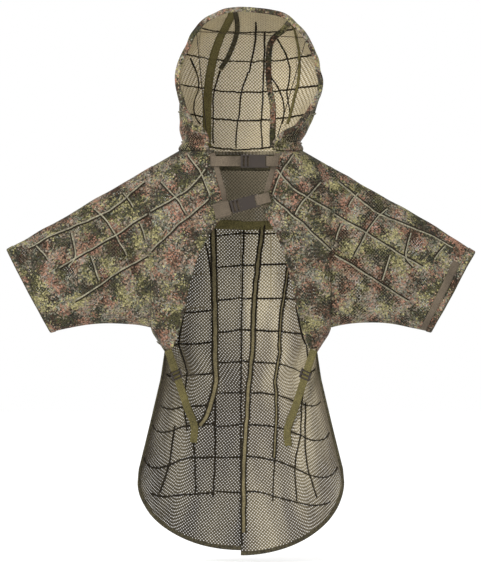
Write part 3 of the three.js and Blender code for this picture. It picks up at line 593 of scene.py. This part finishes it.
def sheet_mesh(name, points, normals, thickness, materials, wraps=False):
    """A closed cloth: an outer face, an inner face, a rim, and where each point is on the flat."""
    rows, columns = points.shape[:2]
    half = np.asarray(thickness)[..., None] / 2 if np.ndim(thickness) else thickness / 2
    across = np.linalg.norm(np.diff(points, axis=0), axis=-1)
    down = np.linalg.norm(np.diff(points, axis=1), axis=-1)
    place = np.zeros((rows, columns, 3))
    place[1:, :, 0] = np.cumsum(across, axis=0)
    place[:, 1:, 1] = np.cumsum(down, axis=1)
    place[..., 0] -= place[rows // 2, :, 0]
    size = rows * columns
    index = np.arange(size).reshape(rows, columns)
    here, nexts = (index, np.roll(index, -1, 0)) if wraps else (index[:-1], index[1:])

    def quads(a, b, c, d):
        return np.stack([a, b, c, d], -1).reshape(-1, 4)

    outer = quads(here[:, :-1], nexts[:, :-1], nexts[:, 1:], here[:, 1:])
    rim = [quads(nexts[:, 0], here[:, 0], here[:, 0] + size, nexts[:, 0] + size),
           quads(here[:, -1], nexts[:, -1], nexts[:, -1] + size, here[:, -1] + size)]
    if not wraps:
        rim += [quads(index[0, :-1], index[0, 1:], index[0, 1:] + size, index[0, :-1] + size),
                quads(index[-1, 1:], index[-1, :-1], index[-1, :-1] + size, index[-1, 1:] + size)]
    rim = np.concatenate(rim)
    faces = np.concatenate([outer, outer[:, ::-1] + size, rim])
    slots = [0] * len(outer) + [len(materials) - 1] * len(outer) + [0] * len(rim)
    vertices = np.concatenate([(points + normals * half * way).reshape(-1, 3) for way in (1, -1)])
    thing = build_mesh(name, vertices.tolist(), faces.tolist(), materials, slots,
                       np.concatenate([place.reshape(-1, 3)] * 2))
    thing["flat"] = [float(across.sum(0).max()), float(down.sum(1).max())]
    thing["area"] = float(sum(p.area for p in thing.data.polygons[:len(outer)]))
    return thing


def sideways(points, normals):
    return unit(np.cross(unit(np.gradient(points, axis=0)), normals))


def tubes(name, paths, width, height, material, power=2.0, sides=8):
    """Cords, tapes and bindings along paths of (points, normals): oval, or squarer with more power."""
    vertices, faces = [], []
    turns = 2 * math.pi * (np.arange(sides) + 0.5) / sides
    flat = np.sign(np.cos(turns)) * np.abs(np.cos(turns)) ** (2 / power) * width / 2
    high = np.sign(np.sin(turns)) * np.abs(np.sin(turns)) ** (2 / power) * height / 2
    start = 0
    for points, normals in paths:
        ahead = unit(np.gradient(points, axis=0))
        across = unit(np.cross(ahead, normals))
        up = np.cross(across, ahead)
        rings = points + across * flat[:, None, None] + up * high[:, None, None]
        vertices.append(rings.reshape(-1, 3))
        count = len(points)
        index = start + np.arange(sides * count).reshape(sides, count)
        after = np.roll(index, -1, 0)
        walls = np.stack([index[:, :-1], index[:, 1:], after[:, 1:], after[:, :-1]], -1).reshape(-1, 4)
        faces += walls.tolist()
        faces += [index[:, 0].tolist(), index[::-1, -1].tolist()]
        start += sides * count
    return build_mesh(name, np.concatenate(vertices).tolist(), faces, [material])


def zigzag(path, width, pitch=0.008):
    """A path that swings from side to side as a zigzag stitch does."""
    points, normals, place = even_path(path, pitch / 4)
    swing = 2 * np.abs(2 * ((place / pitch) % 1) - 1) - 1
    return points + sideways(points, normals) * (swing * width / 2)[:, None], normals


def uneven(path, depth=0.0012, cell=0.02, seed=51):
    """A path with the small wander of a cord sewn on by hand."""
    points, normals = path
    return points + sideways(points, normals) * (depth * ripple(points, cell, seed))[..., None], normals


def beside(path, offset):
    points, normals = path
    return points + sideways(points, normals) * offset, normals


def tape(name, path, width, thick, material, columns=5):
    """A flat tape along a path, with the net's own pattern places."""
    points, normals = path
    across = sideways(points, normals)
    shares = np.linspace(-0.5, 0.5, columns)
    return sheet_mesh(name, points[None] + across[None] * (shares * width)[:, None, None],
                      np.repeat(-normals[None], columns, 0), thick, [material])


def put(thing, body, slot, *nodes):
    """The piece rides on a body; one on the hood or a sleeve, or on a chest strap's buckle half it is
    not named for, keeps its place baked into its mesh instead.
    """
    if body == "hood":
        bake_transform(thing)
    elif body.startswith("sleeve"):
        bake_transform(thing)
    elif body in STRAPS and not thing.name.startswith(body):
        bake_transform(thing)
    else:
        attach(thing, body)
    if nodes:
        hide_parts(*nodes)


def panel(name, sheet, us, vs, body, node, wraps=False, lift=0.0):
    points, normals = sheet.at(*grid(us, vs), lift)
    reverse = "hood_reverse" if body == "hood" else "reverse"
    thing = sheet_mesh(name, points, normals, sizes().cloth, ["net", reverse], wraps)
    put(thing, body, "net", node)


HOOD = Sheet(hood_shape, 1, (-0.75, 0.75, 0.02, 0.99))
BACK = {side: Sheet(back_shape, side, (0, 0.999, 0.02, 0.999)) for _, side in SIDES}
FRONT = {side: Sheet(front_shape, side, (0.001, 0.999, 0.02, 0.999)) for _, side in SIDES}
SLEEVE = {side: Sheet(sleeve_shape, side, (0.02, 0.48, -0.02, 0.999)) for _, side in SIDES}


# ---- Where the garnish cords run, as x and z in millimetres ----
TAIL_ROWS = (  # z at the middle of the left half, at the middle, on the right and at the right edge
    (-212, -205, -203, -206), (-291, -284, -283, -288), (-375, -368, -369, -378),
    (-455, -448, -452, -462), (-530, -527, -533, -545), (-609, -605, -614, -628),
    (-690, -685, -694, -706), (-770, -767, -780, -792), (-856, -856, -870, -880))
TAIL_LINES = (
    ((7, -185), (3, -400), (-4, -634), (-2, -800), (2, -990)),
    ((120, -260), (112, -340), (98, -453), (90, -631), (84, -770), (80, -878)),
    ((139, -389), (152, -454), (163, -550), (152, -640), (150, -706), (136, -792), (141, -878)),
    ((-89, -228), (-80, -280), (-73, -330)),
    ((-140, -380), (-146, -518), (-143, -631), (-135, -700)),
    ((-65, -600), (-66, -700), (-65, -771), (-71, -870)),
    ((-167, -690), (-178, -771), (-205, -859)), ((-122, -700), (-116, -781), (-114, -857)),
    ((163, -631), (165, -776), (192, -870)))
# The height of each row over the hood, in metres, and how much it rises to the sides.
HOOD_ROWS = ((0.004, 0.1), (0.078, 0.12), (0.15, 0.13), (0.228, 0.13), (0.3, 0.1))
HOOD_LINES = (
    ((38, 325), (34, 270), (28, 239), (15, 195), (5, 160), (-2, 120), (-6, 86), (-12, 10)),
    ((60, 300), (60, 228), (57, 159), (53, 86), (54, 10)),
    ((-53, 205), (-72, 130), (-70, 80), (-69, 20)),
    ((92, 285), (116, 240), (124, 200), (116, 150), (122, 80)),
    ((-128, 235), (-108, 160), (-120, 110), (-104, 70)),
    ((76, 190), (100, 150), (108, 100), (106, 70)))


def tail_paths(lift):
    paths = []
    for middle_left, middle, middle_right, far_right in TAIL_ROWS:
        reach = min(side_width(middle / 1000) * 1000 - 6, 250) if middle > -829 else 225
        low = -30 if middle > -640 else 0
        paths.append(BACK[-1].route(((-1, middle), (-62, middle_left)), STEP, lift))
        if middle < -300:
            beyond = ((-68, middle + low), (-140, middle + low - 6), (-reach, middle + low - 2))
            paths.append(BACK[-1].route(beyond, STEP, lift))
        right = ((1, middle), (40, middle - 2), (95, middle_right), (reach, far_right))
        paths.append(BACK[1].route(right, STEP, lift))
    return paths + [BACK[1 if line[-1][0] > 0 else -1].route(line, STEP, lift) for line in TAIL_LINES]


def hood_paths(lift):
    us, vs = np.linspace(-0.62, 0.62, 90), np.linspace(0.0, 0.985, 160)
    points = HOOD.points(*grid(us, vs))
    paths = []
    for z, rise in HOOD_ROWS:
        over = points[..., 2] > (z + rise * 6 * (points[:, 40, 0] - 0.018) ** 2)[:, None]
        first = np.argmax(over, axis=1)
        good = over.any(axis=1) & (first > 0)
        paths.append(HOOD.at(us[good], vs[first[good]], lift))
    return paths + [HOOD.route(line, STEP, lift) for line in HOOD_LINES]


# ---- Operators ----
class CAPE_OT_stage(bpy.types.Operator):
    """Adds the camera, the floor and the soft lights"""

    bl_idname = "cape.stage"
    bl_label = "Stage"

    def execute(self, context):
        scene = bpy.context.scene
        scene.view_settings.view_transform = "Standard"
        camera = bpy.data.objects.new("camera", bpy.data.cameras.new("camera"))
        camera.data.sensor_width = 36
        camera.data.sensor_fit = "AUTO"
        camera.data.lens = 18 / math.tan(math.atan(HALF_VIEW / CAMERA_AWAY))
        camera.location = (-0.001, -CAMERA_AWAY, -0.325)
        camera.rotation_euler = (math.radians(90), 0, 0)
        scene.collection.objects.link(camera)
        scene.camera = camera
        MATERIALS["floor"] = studio_white()
        turns = np.linspace(0, 2 * math.pi, 65)[:-1]
        ring = [(FLOOR_R * math.cos(t), FLOOR_R * math.sin(t), FLOOR_Z) for t in turns]
        floor = build_mesh("studio_floor", ring, [list(range(64))], ["floor"])
        world = bpy.data.worlds.new("studio_air")
        world.use_nodes = True
        world.node_tree.nodes.clear()
        air = add(world.node_tree, "ShaderNodeBackground", {"Color": (1, 1, 1, 1), "Strength": 1.0})
        add(world.node_tree, "ShaderNodeOutputWorld", {"Surface": air.outputs["Background"]})
        scene.world = world
        for name, place, aim, size, power in (
                ("key", (-2.6, -3.6, 2.2), (0, 0, -0.3), 2.4, 170),
                ("fill", (3.4, -3.0, 0.2), (0, 0, -0.4), 3.0, 6)):
            lamp = bpy.data.lights.new(name, "AREA")
            lamp.size, lamp.energy = size, power
            thing = bpy.data.objects.new(name, lamp)
            thing.location = place
            way = Vector(aim) - Vector(place)
            thing.rotation_euler = way.to_track_quat("-Z", "Y").to_euler()
            scene.collection.objects.link(thing)
        return {"FINISHED"}


class CAPE_OT_materials(bpy.types.Operator):
    """Makes the cape's materials"""

    bl_idname = "cape.materials"
    bl_label = "Materials"

    def execute(self, context):
        code = colours()
        MATERIALS.update({
            "net": printed_net("printed_polyester_net", 0.17),
            # Its last number sets the painted shade on the left half and low down.
            "reverse": reverse_net("polyester_net_reverse", code.reverse, code.shade, 0.17, 0.5),
            "hood_reverse": reverse_net("hood_net_reverse", code.hood, code.reverse, 0.17),
            "seam": woven("khaki_seam_tape", code.seam, 0.0025, 0.35),
            # The yoke's net is drawn in a darker tone that is partly painted shade.
            "lining": reverse_net("yoke_net", code.lining, code.lining, 0.1),
            "print": printed_net("printed_binding", 0.0),
            "tape": woven("woven_polyester_tape", code.tape, 0.0025, 0.35),
            "binding": woven("folded_polyester_binding", code.binding, 0.004, 0.5),
            "cord": woven("braided_polyester_cord", code.cord, 0.004, 0.35),
            "stitching": woven("polyester_thread", code.stitching, 0.003, 0.4),
            "webbing": woven("woven_webbing", code.webbing, 0.002, 0.2),
            "plastic": moulded_acetal(),
        })
        return {"FINISHED"}


class CAPE_OT_hood(bpy.types.Operator):
    """Makes the hood's three panels and the binding of its brim"""

    bl_idname = "cape.hood"
    bl_label = "Hood"

    def execute(self, context):
        vs = np.linspace(0, 1, 64)
        panel("hood_centre_net", HOOD, np.linspace(-0.22, 0.22, 31), vs, "hood", "hood_centre_panel")
        for name, side in SIDES:
            us = -side * np.linspace(0.22, 1, 61)
            panel(f"hood_side_net_{name}", HOOD, us if side < 0 else us[::-1], vs, "hood",
                  f"hood_side_panel_{name}")
        points, _ = HOOD.line(steps_across(1.0, -1, 1, 41), 0.005)
        facing = unit(points * [0.25, 0, 0.25] + [0, -0.3, 0.0])
        put(tubes("hood_brim", [(points, facing)], 0.013, 0.0065, "print", 2.6, 12),
            "hood", "net_binding", "hood_brim_binding")
        line = HOOD.line(steps_across(0.975, -0.98, 0.98, 41), -0.002)
        put(tubes("hood_brim_stitching", [line], 0.0036, 0.0026, "stitching", 2, 6), "hood", "cord")
        return {"FINISHED"}


class CAPE_OT_body(bpy.types.Operator):
    """Makes the back, the fronts and the sleeves"""

    bl_idname = "cape.body"
    bl_label = "Body"

    def execute(self, context):
        us = np.sin(np.linspace(0, 1, 46) * math.pi / 2)
        for name, side in SIDES:
            panel(f"back_net_{name}", BACK[side], us, np.linspace(0, 1, 130),
                  "cape", f"back_panel_{name}")
            panel(f"front_net_{name}", FRONT[side], np.linspace(0, 1, 34), np.linspace(0, 1, 76),
                  "cape", f"front_panel_{name}")
            panel(f"sleeve_net_{name}", SLEEVE[side], np.linspace(0, 1, 97)[:-1],
                  np.linspace(-0.013, 1, 58), f"sleeve_{name}", f"sleeve_{name}",
                  wraps=True, lift=0.0009)
        return {"FINISHED"}


class CAPE_OT_edges(bpy.types.Operator):
    """Makes the bindings, hems and throat tapes"""

    bl_idname = "cape.edges"
    bl_label = "Edges"

    def execute(self, context):
        for name, side in SIDES:
            route = steps_down(1.0, 0.58, 1, 30)
            route += [(math.sin(t), 1.0) for t in np.linspace(math.pi / 2, 0.0, 40)[1:]]
            hem = self.bound(BACK[side], route, 0.0045)
            put(tubes(f"tail_hem_{name}", [hem], 0.0105, 0.0042, "binding", 3, 10),
                "cape", "binding", f"tail_hem_binding_{name}")
            edge = self.bound(FRONT[side], steps_down(1.0, 0.29, 0.995, 50), 0.004)
            put(tubes(f"front_binding_{name}", [edge], 0.0095, 0.0042, "print", 3, 10),
                "cape", "binding", f"front_edge_binding_{name}")
            edge = self.bound(FRONT[side], steps_down(1.0, 0.015, 0.29, 30), 0.006, 0.002)
            put(tubes(f"throat_edge_{name}", [edge], 0.0135, 0.003, "webbing", 4, 12),
                "cape", "webbing", f"throat_tape_{name}")
            sleeve, body = SLEEVE[side], f"sleeve_{name}"
            u, v = grid(np.linspace(0, 1, 97)[:-1], np.linspace(0.962, 0.999, 5))
            cuff = sheet_mesh(f"cuff_band_{name}", *sleeve.at(u, v, 0.0024), 0.0012,
                              ["print", "binding"], wraps=True)
            put(cuff, body, "binding", f"cuff_hem_{name}")
            ring = sleeve.at(np.linspace(0, 1, 121), np.full(121, 0.998))
            put(tubes(f"cuff_edge_{name}", [ring], 0.0075, 0.006, "binding"), body, "binding")
        # The right cuff is turned up, so that a strip of the plain reverse shows.
        u, v = grid(np.linspace(0.15, 0.47, 40), np.linspace(0.905, 0.955, 5))
        strip = sheet_mesh("cuff_turned_strip", *SLEEVE[1].at(u, v, RAISED), TAPE_THICK, ["webbing"])
        put(strip, "sleeve_right", "lining")
        return {"FINISHED"}

    @staticmethod
    def bound(sheet, uvs, inset, lift=0.0):
        """A path just inside an edge of the sheet, for a binding folded round it."""
        uvs = np.array(uvs)
        points, normals, _ = even_path(sheet.at(uvs[:, 0], uvs[:, 1], lift), 0.006)
        across = sideways(points, normals)
        middle = sheet.points(0.5, 0.5)
        inward = np.sign(np.sum(across * (middle - points), -1, keepdims=True))
        return points + across * inward * inset, normals


class CAPE_OT_inside(bpy.types.Operator):
    """Makes the yoke lining, the seam tapes and the dark zigzag stitching on the inside; the yoke's and
    the stitching's dark tones are partly painted shade
    """

    bl_idname = "cape.inside"
    bl_label = "Inside"

    # Places as x and z in millimetres, then the width and the node or the material.
    tail_tapes = {
        "left": (((-71, -180), (-66, -347), (-65, -529), (-71, -615), (-88, -668), (-104, -690)),
                 0.016, "back_side_tape_left"),
        "centre": (((55, -185), (34, -374), (26, -529), (15, -668), (8, -776), (7, -960)),
                   0.011, "centre_back_tape"),
        "right": (((128, -230), (112, -340), (98, -453), (90, -631), (84, -770)),
                  0.006, "back_side_tape_right")}
    hood_tapes = {
        "left": (((-17, 352), (-32, 328), (-64, 260), (-77, 207), (-85, 128), (-85, 55), (-84, 12)),
                 0.022, "tape"),
        "right": (((132, 330), (108, 308), (76, 273), (69, 228), (70, 181), (79, 128), (81, 60),
                   (82, 12)), 0.015, "print")}
    bands = (("neck_seam", "binding", (0.006, 0.046), "binding", "neck_seam_tape"),
             ("yoke_net_lining", "lining", (0.043, 0.178), "lining", "back_yoke_lining"),
             ("yoke_hem", "tape", (0.172, 0.194), "tape", "yoke_hem_band"))

    def execute(self, context):
        self.yoke()
        self.stitches(self.tapes())
        return {"FINISHED"}

    def yoke(self):
        for name, material, (v0, v1), slot, node in self.bands:
            lining = name == "yoke_net_lining"
            u, v = grid(np.linspace(-0.66, 0.66, 60), np.linspace(v0, v1, 24))
            depth = 0.0026 if lining else 0.0034
            right, left = (BACK[side].at(np.abs(u), v, -depth) for _, side in SIDES)
            points, normals = (np.where((u >= 0)[..., None], right[k], left[k]) for k in range(2))
            thing = sheet_mesh(name, points, normals, TAPE_THICK, [material])
            put(thing, "cape", slot, node)

    def tapes(self):
        """Adds the tapes and gives the paths of those on the tail."""
        paths = []
        for name, (places, width, node) in self.tail_tapes.items():
            path = BACK[-1 if name == "left" else 1].route(places, STEP, SUNK)
            paths.append(path)
            put(tape(f"tail_tape_{name}", path, width, TAPE_THICK, "seam"), "cape", "tape", node)
        for name, (places, width, material) in self.hood_tapes.items():
            path = HOOD.route(places, STEP, SUNK)
            put(tape(f"hood_tape_{name}", path, width, TAPE_THICK, material),
                "hood", "tape", f"hood_seam_tape_{name}")
        side = HOOD.route(((128, 322), (147, 250), (145, 180), (128, 105), (118, 70)), STEP, SUNK)
        put(tape("hood_side_tape", side, 0.007, TAPE_THICK, "tape"), "hood", "tape")
        # Painted shadow: a dark strip of binding inside the hood, along the fold beside the left seam
        # tape, stands for the shade of that fold.
        strap = HOOD.route(((-15, 352), (-17, 278), (-34, 240), (-53, 210)), STEP, -0.0028)
        put(tape("hood_fold_shadow", strap, 0.012, 0.0012, "binding"), "hood", "tape")
        return paths

    @staticmethod
    def stitches(tape_paths):
        width = sizes().stitch
        tail = tail_paths(STITCHED)
        for (points, normals), offset in zip(tape_paths, (0.0065, 0.0055, 0.0035)):
            raised = points - normals * 0.0012, normals
            tail += [beside(raised, offset), beside(raised, -offset)]
        # The zigzag lines are dark partly as thread and partly as painted shade, for the shadowed cords
        # behind the net.
        for name, body, paths in (("tail", "cape", tail), ("hood", "hood", hood_paths(STITCHED))):
            paths = [zigzag(uneven(path), width * 0.45) for path in paths]
            put(tubes(f"{name}_stitching", paths, width * 0.72, 0.0014, "stitching", sides=4),
                body, "cord")


class CAPE_OT_cords(bpy.types.Operator):
    """Makes the garnish cords sewn on the outside"""

    bl_idname = "cape.cords"
    bl_label = "Cords"

    # Rows along the left sleeve from the cuff over the shoulder, then ties that cross them in staggered
    # squares, as x and z in millimetres; the right side's are their mirror image.
    sleeve_lines = (
        ((-528, -243), (-442, -200), (-330, -150), (-240, -78)),
        ((-452, -292), (-360, -238), (-232, -158)),
        ((-414, -374), (-330, -318), (-232, -262)),
        ((-508, -238), (-480, -272)), ((-423, -205), (-410, -260), (-430, -290)),
        ((-365, -146), (-312, -208), (-284, -262)), ((-372, -262), (-352, -322)),
        ((-292, -106), (-268, -142)), ((-250, -182), (-236, -222)))
    front_lines = (
        ((-222, -152), (-140, -104), (-88, -48)),
        ((-222, -250), (-160, -190), (-112, -150), (-80, -120)),
        ((-130, -12), (-98, -60), (-78, -112)), ((-196, -80), (-160, -120), (-134, -160)))
    # Behind a sleeve: how far round each row runs, and how far along and from where to where each tie.
    behind_rows = (0.6, 0.71, 0.82, 0.92)
    behind_ties = ((0.11, 0.62, 0.92), (0.33, 0.56, 0.82), (0.55, 0.71, 0.97), (0.77, 0.6, 0.92))

    def execute(self, context):
        behind = [steps_down(u, 0.04, 0.9, 30) for u in self.behind_rows]
        behind += [steps_across(*tie, 24) for tie in self.behind_ties]
        for name, side in SIDES:
            sleeve = self.mirrored(SLEEVE[side], self.sleeve_lines)
            sleeve += [SLEEVE[side].line(uvs, STEP, RAISED) for uvs in behind]
            front = self.mirrored(FRONT[side], self.front_lines)
            for part, paths, body in (("sleeve", sleeve, f"sleeve_{name}"), ("front", front, "cape")):
                paths = [uneven(path) for path in paths]
                self.sew(f"{part}_cord_{name}", paths, body, f"{part}_cords_{name}")
                # Painted shadow: a dark strip in the thread colour beside each cord stands for the
                # shadow the cord casts on the net.
                threads = [beside(path, 0.0036) for path in paths]
                put(tubes(f"{part}_thread_{name}", threads, 0.0046, 0.0018, "stitching", sides=4),
                    body, "cord")
        paths = [uneven(path) for path in tail_paths(RAISED) + self.shoulder_paths()]
        for name, side in SIDES:
            half = [path for path in paths if side * path[0][:, 0].mean() > 0]
            self.sew(f"back_cord_{name}", half, "cape", f"back_cords_{name}")
        self.sew("hood_cord", [uneven(path) for path in hood_paths(RAISED)], "hood", "hood_cords")
        return {"FINISHED"}

    @staticmethod
    def sew(name, paths, body, node):
        width = sizes().cord
        put(tubes(name, paths, width, width * 0.8, "cord"), body, "cord", node)

    @staticmethod
    def mirrored(sheet, lines):
        """Paths on the sheet of its side, from lines given for the left."""
        return [sheet.route([(-sheet.side * x, z) for x, z in line], STEP, RAISED) for line in lines]

    @staticmethod
    def shoulder_paths():
        """Rows and lines above the tail, where the yoke hides their stitching."""
        lines = [[(x, row - 0.0012 * x * x) for x in (1, 70, 140, 205)] for row in (-50, -128)]
        lines += [[(x, row - 0.0005 * x * x) for x in (90, 150, 215)] for row in (-212, -300, -385)]
        lines += [[(x, z) for z in (-30, -120, -240, -380)] for x in (75, 150)]
        return [BACK[side].route([(side * x, z) for x, z in line], STEP, RAISED)
                for _, side in SIDES for line in lines]


class CAPE_OT_straps(bpy.types.Operator):
    """Makes the chest webbing, its folded ends and the side straps"""

    bl_idname = "cape.straps"
    bl_label = "Straps"

    def execute(self, context):
        for level, strap, left_foot, right_end in (
                ("upper", UPPER_STRAP, -0.1, 0.068), ("lower", LOWER_STRAP, -0.068, 0.074)):
            left = [(left_foot, 0.0105), (left_foot + 0.004, 0.005), (left_foot + 0.012, 0.0026),
                    (-0.03, 0.00235), (-0.002, 0.00235)]
            right = [(right_end, -0.001), (right_end - 0.012, -0.0054), (0.043, -0.0057),
                     (0.0396, -0.0047), (0.0388, 0.0), (0.0396, 0.0047), (0.043, 0.0057),
                     (right_end - 0.012, 0.0058), (right_end, 0.0078)]
            for end, body, outline in (("left", f"{level}_buckle_male", left), ("right", "cape", right)):
                put(self.ribbed(f"{level}_webbing_{end}", strap, outline, 0.0125),
                    body, "webbing", f"{level}_strap_webbing_{end}")
        put(self.keeper("lower_fold_left", (-0.068, -0.028), 0.0022, 0.009, 0.019, "webbing"),
            "lower_buckle_male", "webbing", "lower_strap_fold_left")
        put(self.keeper("lower_fold_right", (0.05, 0.078), 0.009, 0.002, 0.0168, "binding"),
            "cape", "webbing", "lower_strap_fold_right")
        for name, side in SIDES:
            self.side_strap(name, side)
        return {"FINISHED"}

    @staticmethod
    def place(strap, x, y, z):
        """Points of a strap's own space, where it runs along x, in the cape's."""
        origin, tilt = strap
        return origin + np.stack([x * math.cos(tilt) - z * math.sin(tilt), y,
                                  x * math.sin(tilt) + z * math.cos(tilt)], -1)

    def ribbed(self, name, strap, outline, half):
        """Webbing with ribs along its length that follows an outline seen from above."""
        path, _ = evenly(curve(outline, 200), 0.0015)
        ahead = unit(np.gradient(path, axis=0))
        zs = np.linspace(-half, half, 25)
        x, z = np.broadcast_arrays(path[:, 0], zs[:, None])
        y = np.broadcast_to(path[:, 1], x.shape)
        points = self.place(strap, x, y, z)
        facing = self.place((np.zeros(3), strap[1]), -ahead[:, 1], ahead[:, 0], 0 * ahead[:, 0])
        normals = np.broadcast_to(facing, points.shape)
        ribs = 0.0013 + 0.0003 * np.cos(zs / half * math.pi * 6)[:, None] * np.ones_like(x)
        return sheet_mesh(name, points, normals, ribs, ["webbing"])

    def keeper(self, name, span, middle, half_depth, half_height, material):
        """Webbing folded over and over into a block round the strap, open at its ends."""
        turns = np.linspace(0, 2 * math.pi, 81)[:-1]
        xs = np.linspace(*span, 12)
        bulge = 1 - 0.06 * np.abs(np.linspace(-1, 1, 12)) ** 3
        c, s = np.cos(turns), np.sin(turns)
        y = middle + np.sign(c) * np.abs(c) ** 0.5 * half_depth
        z = np.sign(s) * np.abs(s) ** 0.5 * half_height
        rib = 1 + 0.035 * np.cos(z / half_height * math.pi * 5)
        y = middle + (y - middle) * rib
        points = self.place(LOWER_STRAP, *np.broadcast_arrays(
            xs[None], y[:, None], z[:, None] * bulge[None]))
        flat = self.place((np.zeros(3), LOWER_STRAP[1]), *np.broadcast_arrays(
            0 * xs[None], (c / half_depth)[:, None], (s / half_height)[:, None]))
        return sheet_mesh(name, points, -unit(flat), 0.0014, [material], wraps=True)

    @staticmethod
    def side_strap(name, side):
        """A flat strap from the front's foot, through its slide, to the tail."""
        start = front_shape(0.5, np.array(1.0), side) + [0, 0, -0.003]
        target = back_shape(np.array(0.56), np.array(0.7176), side) - [0, 0.0025, 0]
        along = unit(target - start)
        reach = np.linalg.norm(target - start)
        straight = [start + along * s for s in np.linspace(0, 0.72 * reach, 8)]
        us, vs = np.array([0.56, 0.56, 0.56]), np.array([0.722, 0.738, 0.752])
        sewn, normals = BACK[side].at(us, vs, -0.003)
        path, _ = evenly(curve(np.array([*straight, *sewn]), 200), 0.005)
        normal = BACK[side].at(0.56, 0.7176)[1]
        normals = np.repeat(normal[None], len(path), 0)
        strap = tape(f"side_strap_tape_{name}", (path, normals), 0.019, 0.0016, "tape", 9)
        put(strap, "cape", "tape", f"side_strap_{name}")


class CAPE_OT_buckles(bpy.types.Operator):
    """Finishes the moulded buckles and slides: rounded edges and satin plastic"""

    bl_idname = "cape.buckles"
    bl_label = "Buckles"

    def execute(self, context):
        for name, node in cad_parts.items():
            if "buckle" in name or "slide" in name:
                node.data.materials.clear()
                node.data.materials.append(MATERIALS["plastic"])
                bevel = node.modifiers.new("rounded_edges", "BEVEL")
                bevel.width, bevel.segments, bevel.limit_method = 0.0007, 2, "ANGLE"
        return {"FINISHED"}


class CAPE_PT_panel(bpy.types.Panel):
    """The cape's steps and settings"""

    bl_label = "Camouflage Net Cape"
    bl_space_type = "VIEW_3D"
    bl_region_type = "UI"
    bl_category = "Cape"

    def draw(self, context):
        for operator in OPERATORS:
            self.layout.operator(operator.bl_idname)
        for group in (context.scene.cape_sizes, context.scene.cape_colours):
            for key in group.__annotations__:
                self.layout.prop(group, key)


OPERATORS = (CAPE_OT_stage, CAPE_OT_materials, CAPE_OT_hood, CAPE_OT_body, CAPE_OT_edges, CAPE_OT_inside,
             CAPE_OT_cords, CAPE_OT_straps, CAPE_OT_buckles)
CLASSES = (CapeSizes, CapeColours, *OPERATORS, CAPE_PT_panel)


def register():
    for cls in CLASSES:
        bpy.utils.register_class(cls)
    bpy.types.Scene.cape_sizes = PointerProperty(type=CapeSizes)
    bpy.types.Scene.cape_colours = PointerProperty(type=CapeColours)


def unregister():
    del bpy.types.Scene.cape_colours
    del bpy.types.Scene.cape_sizes
    for cls in reversed(CLASSES):
        bpy.utils.unregister_class(cls)


def main():
    register()
    for operator in OPERATORS:
        getattr(bpy.ops.cape, operator.bl_idname.split(".")[1])()


if __name__ == "__main__":
    main()
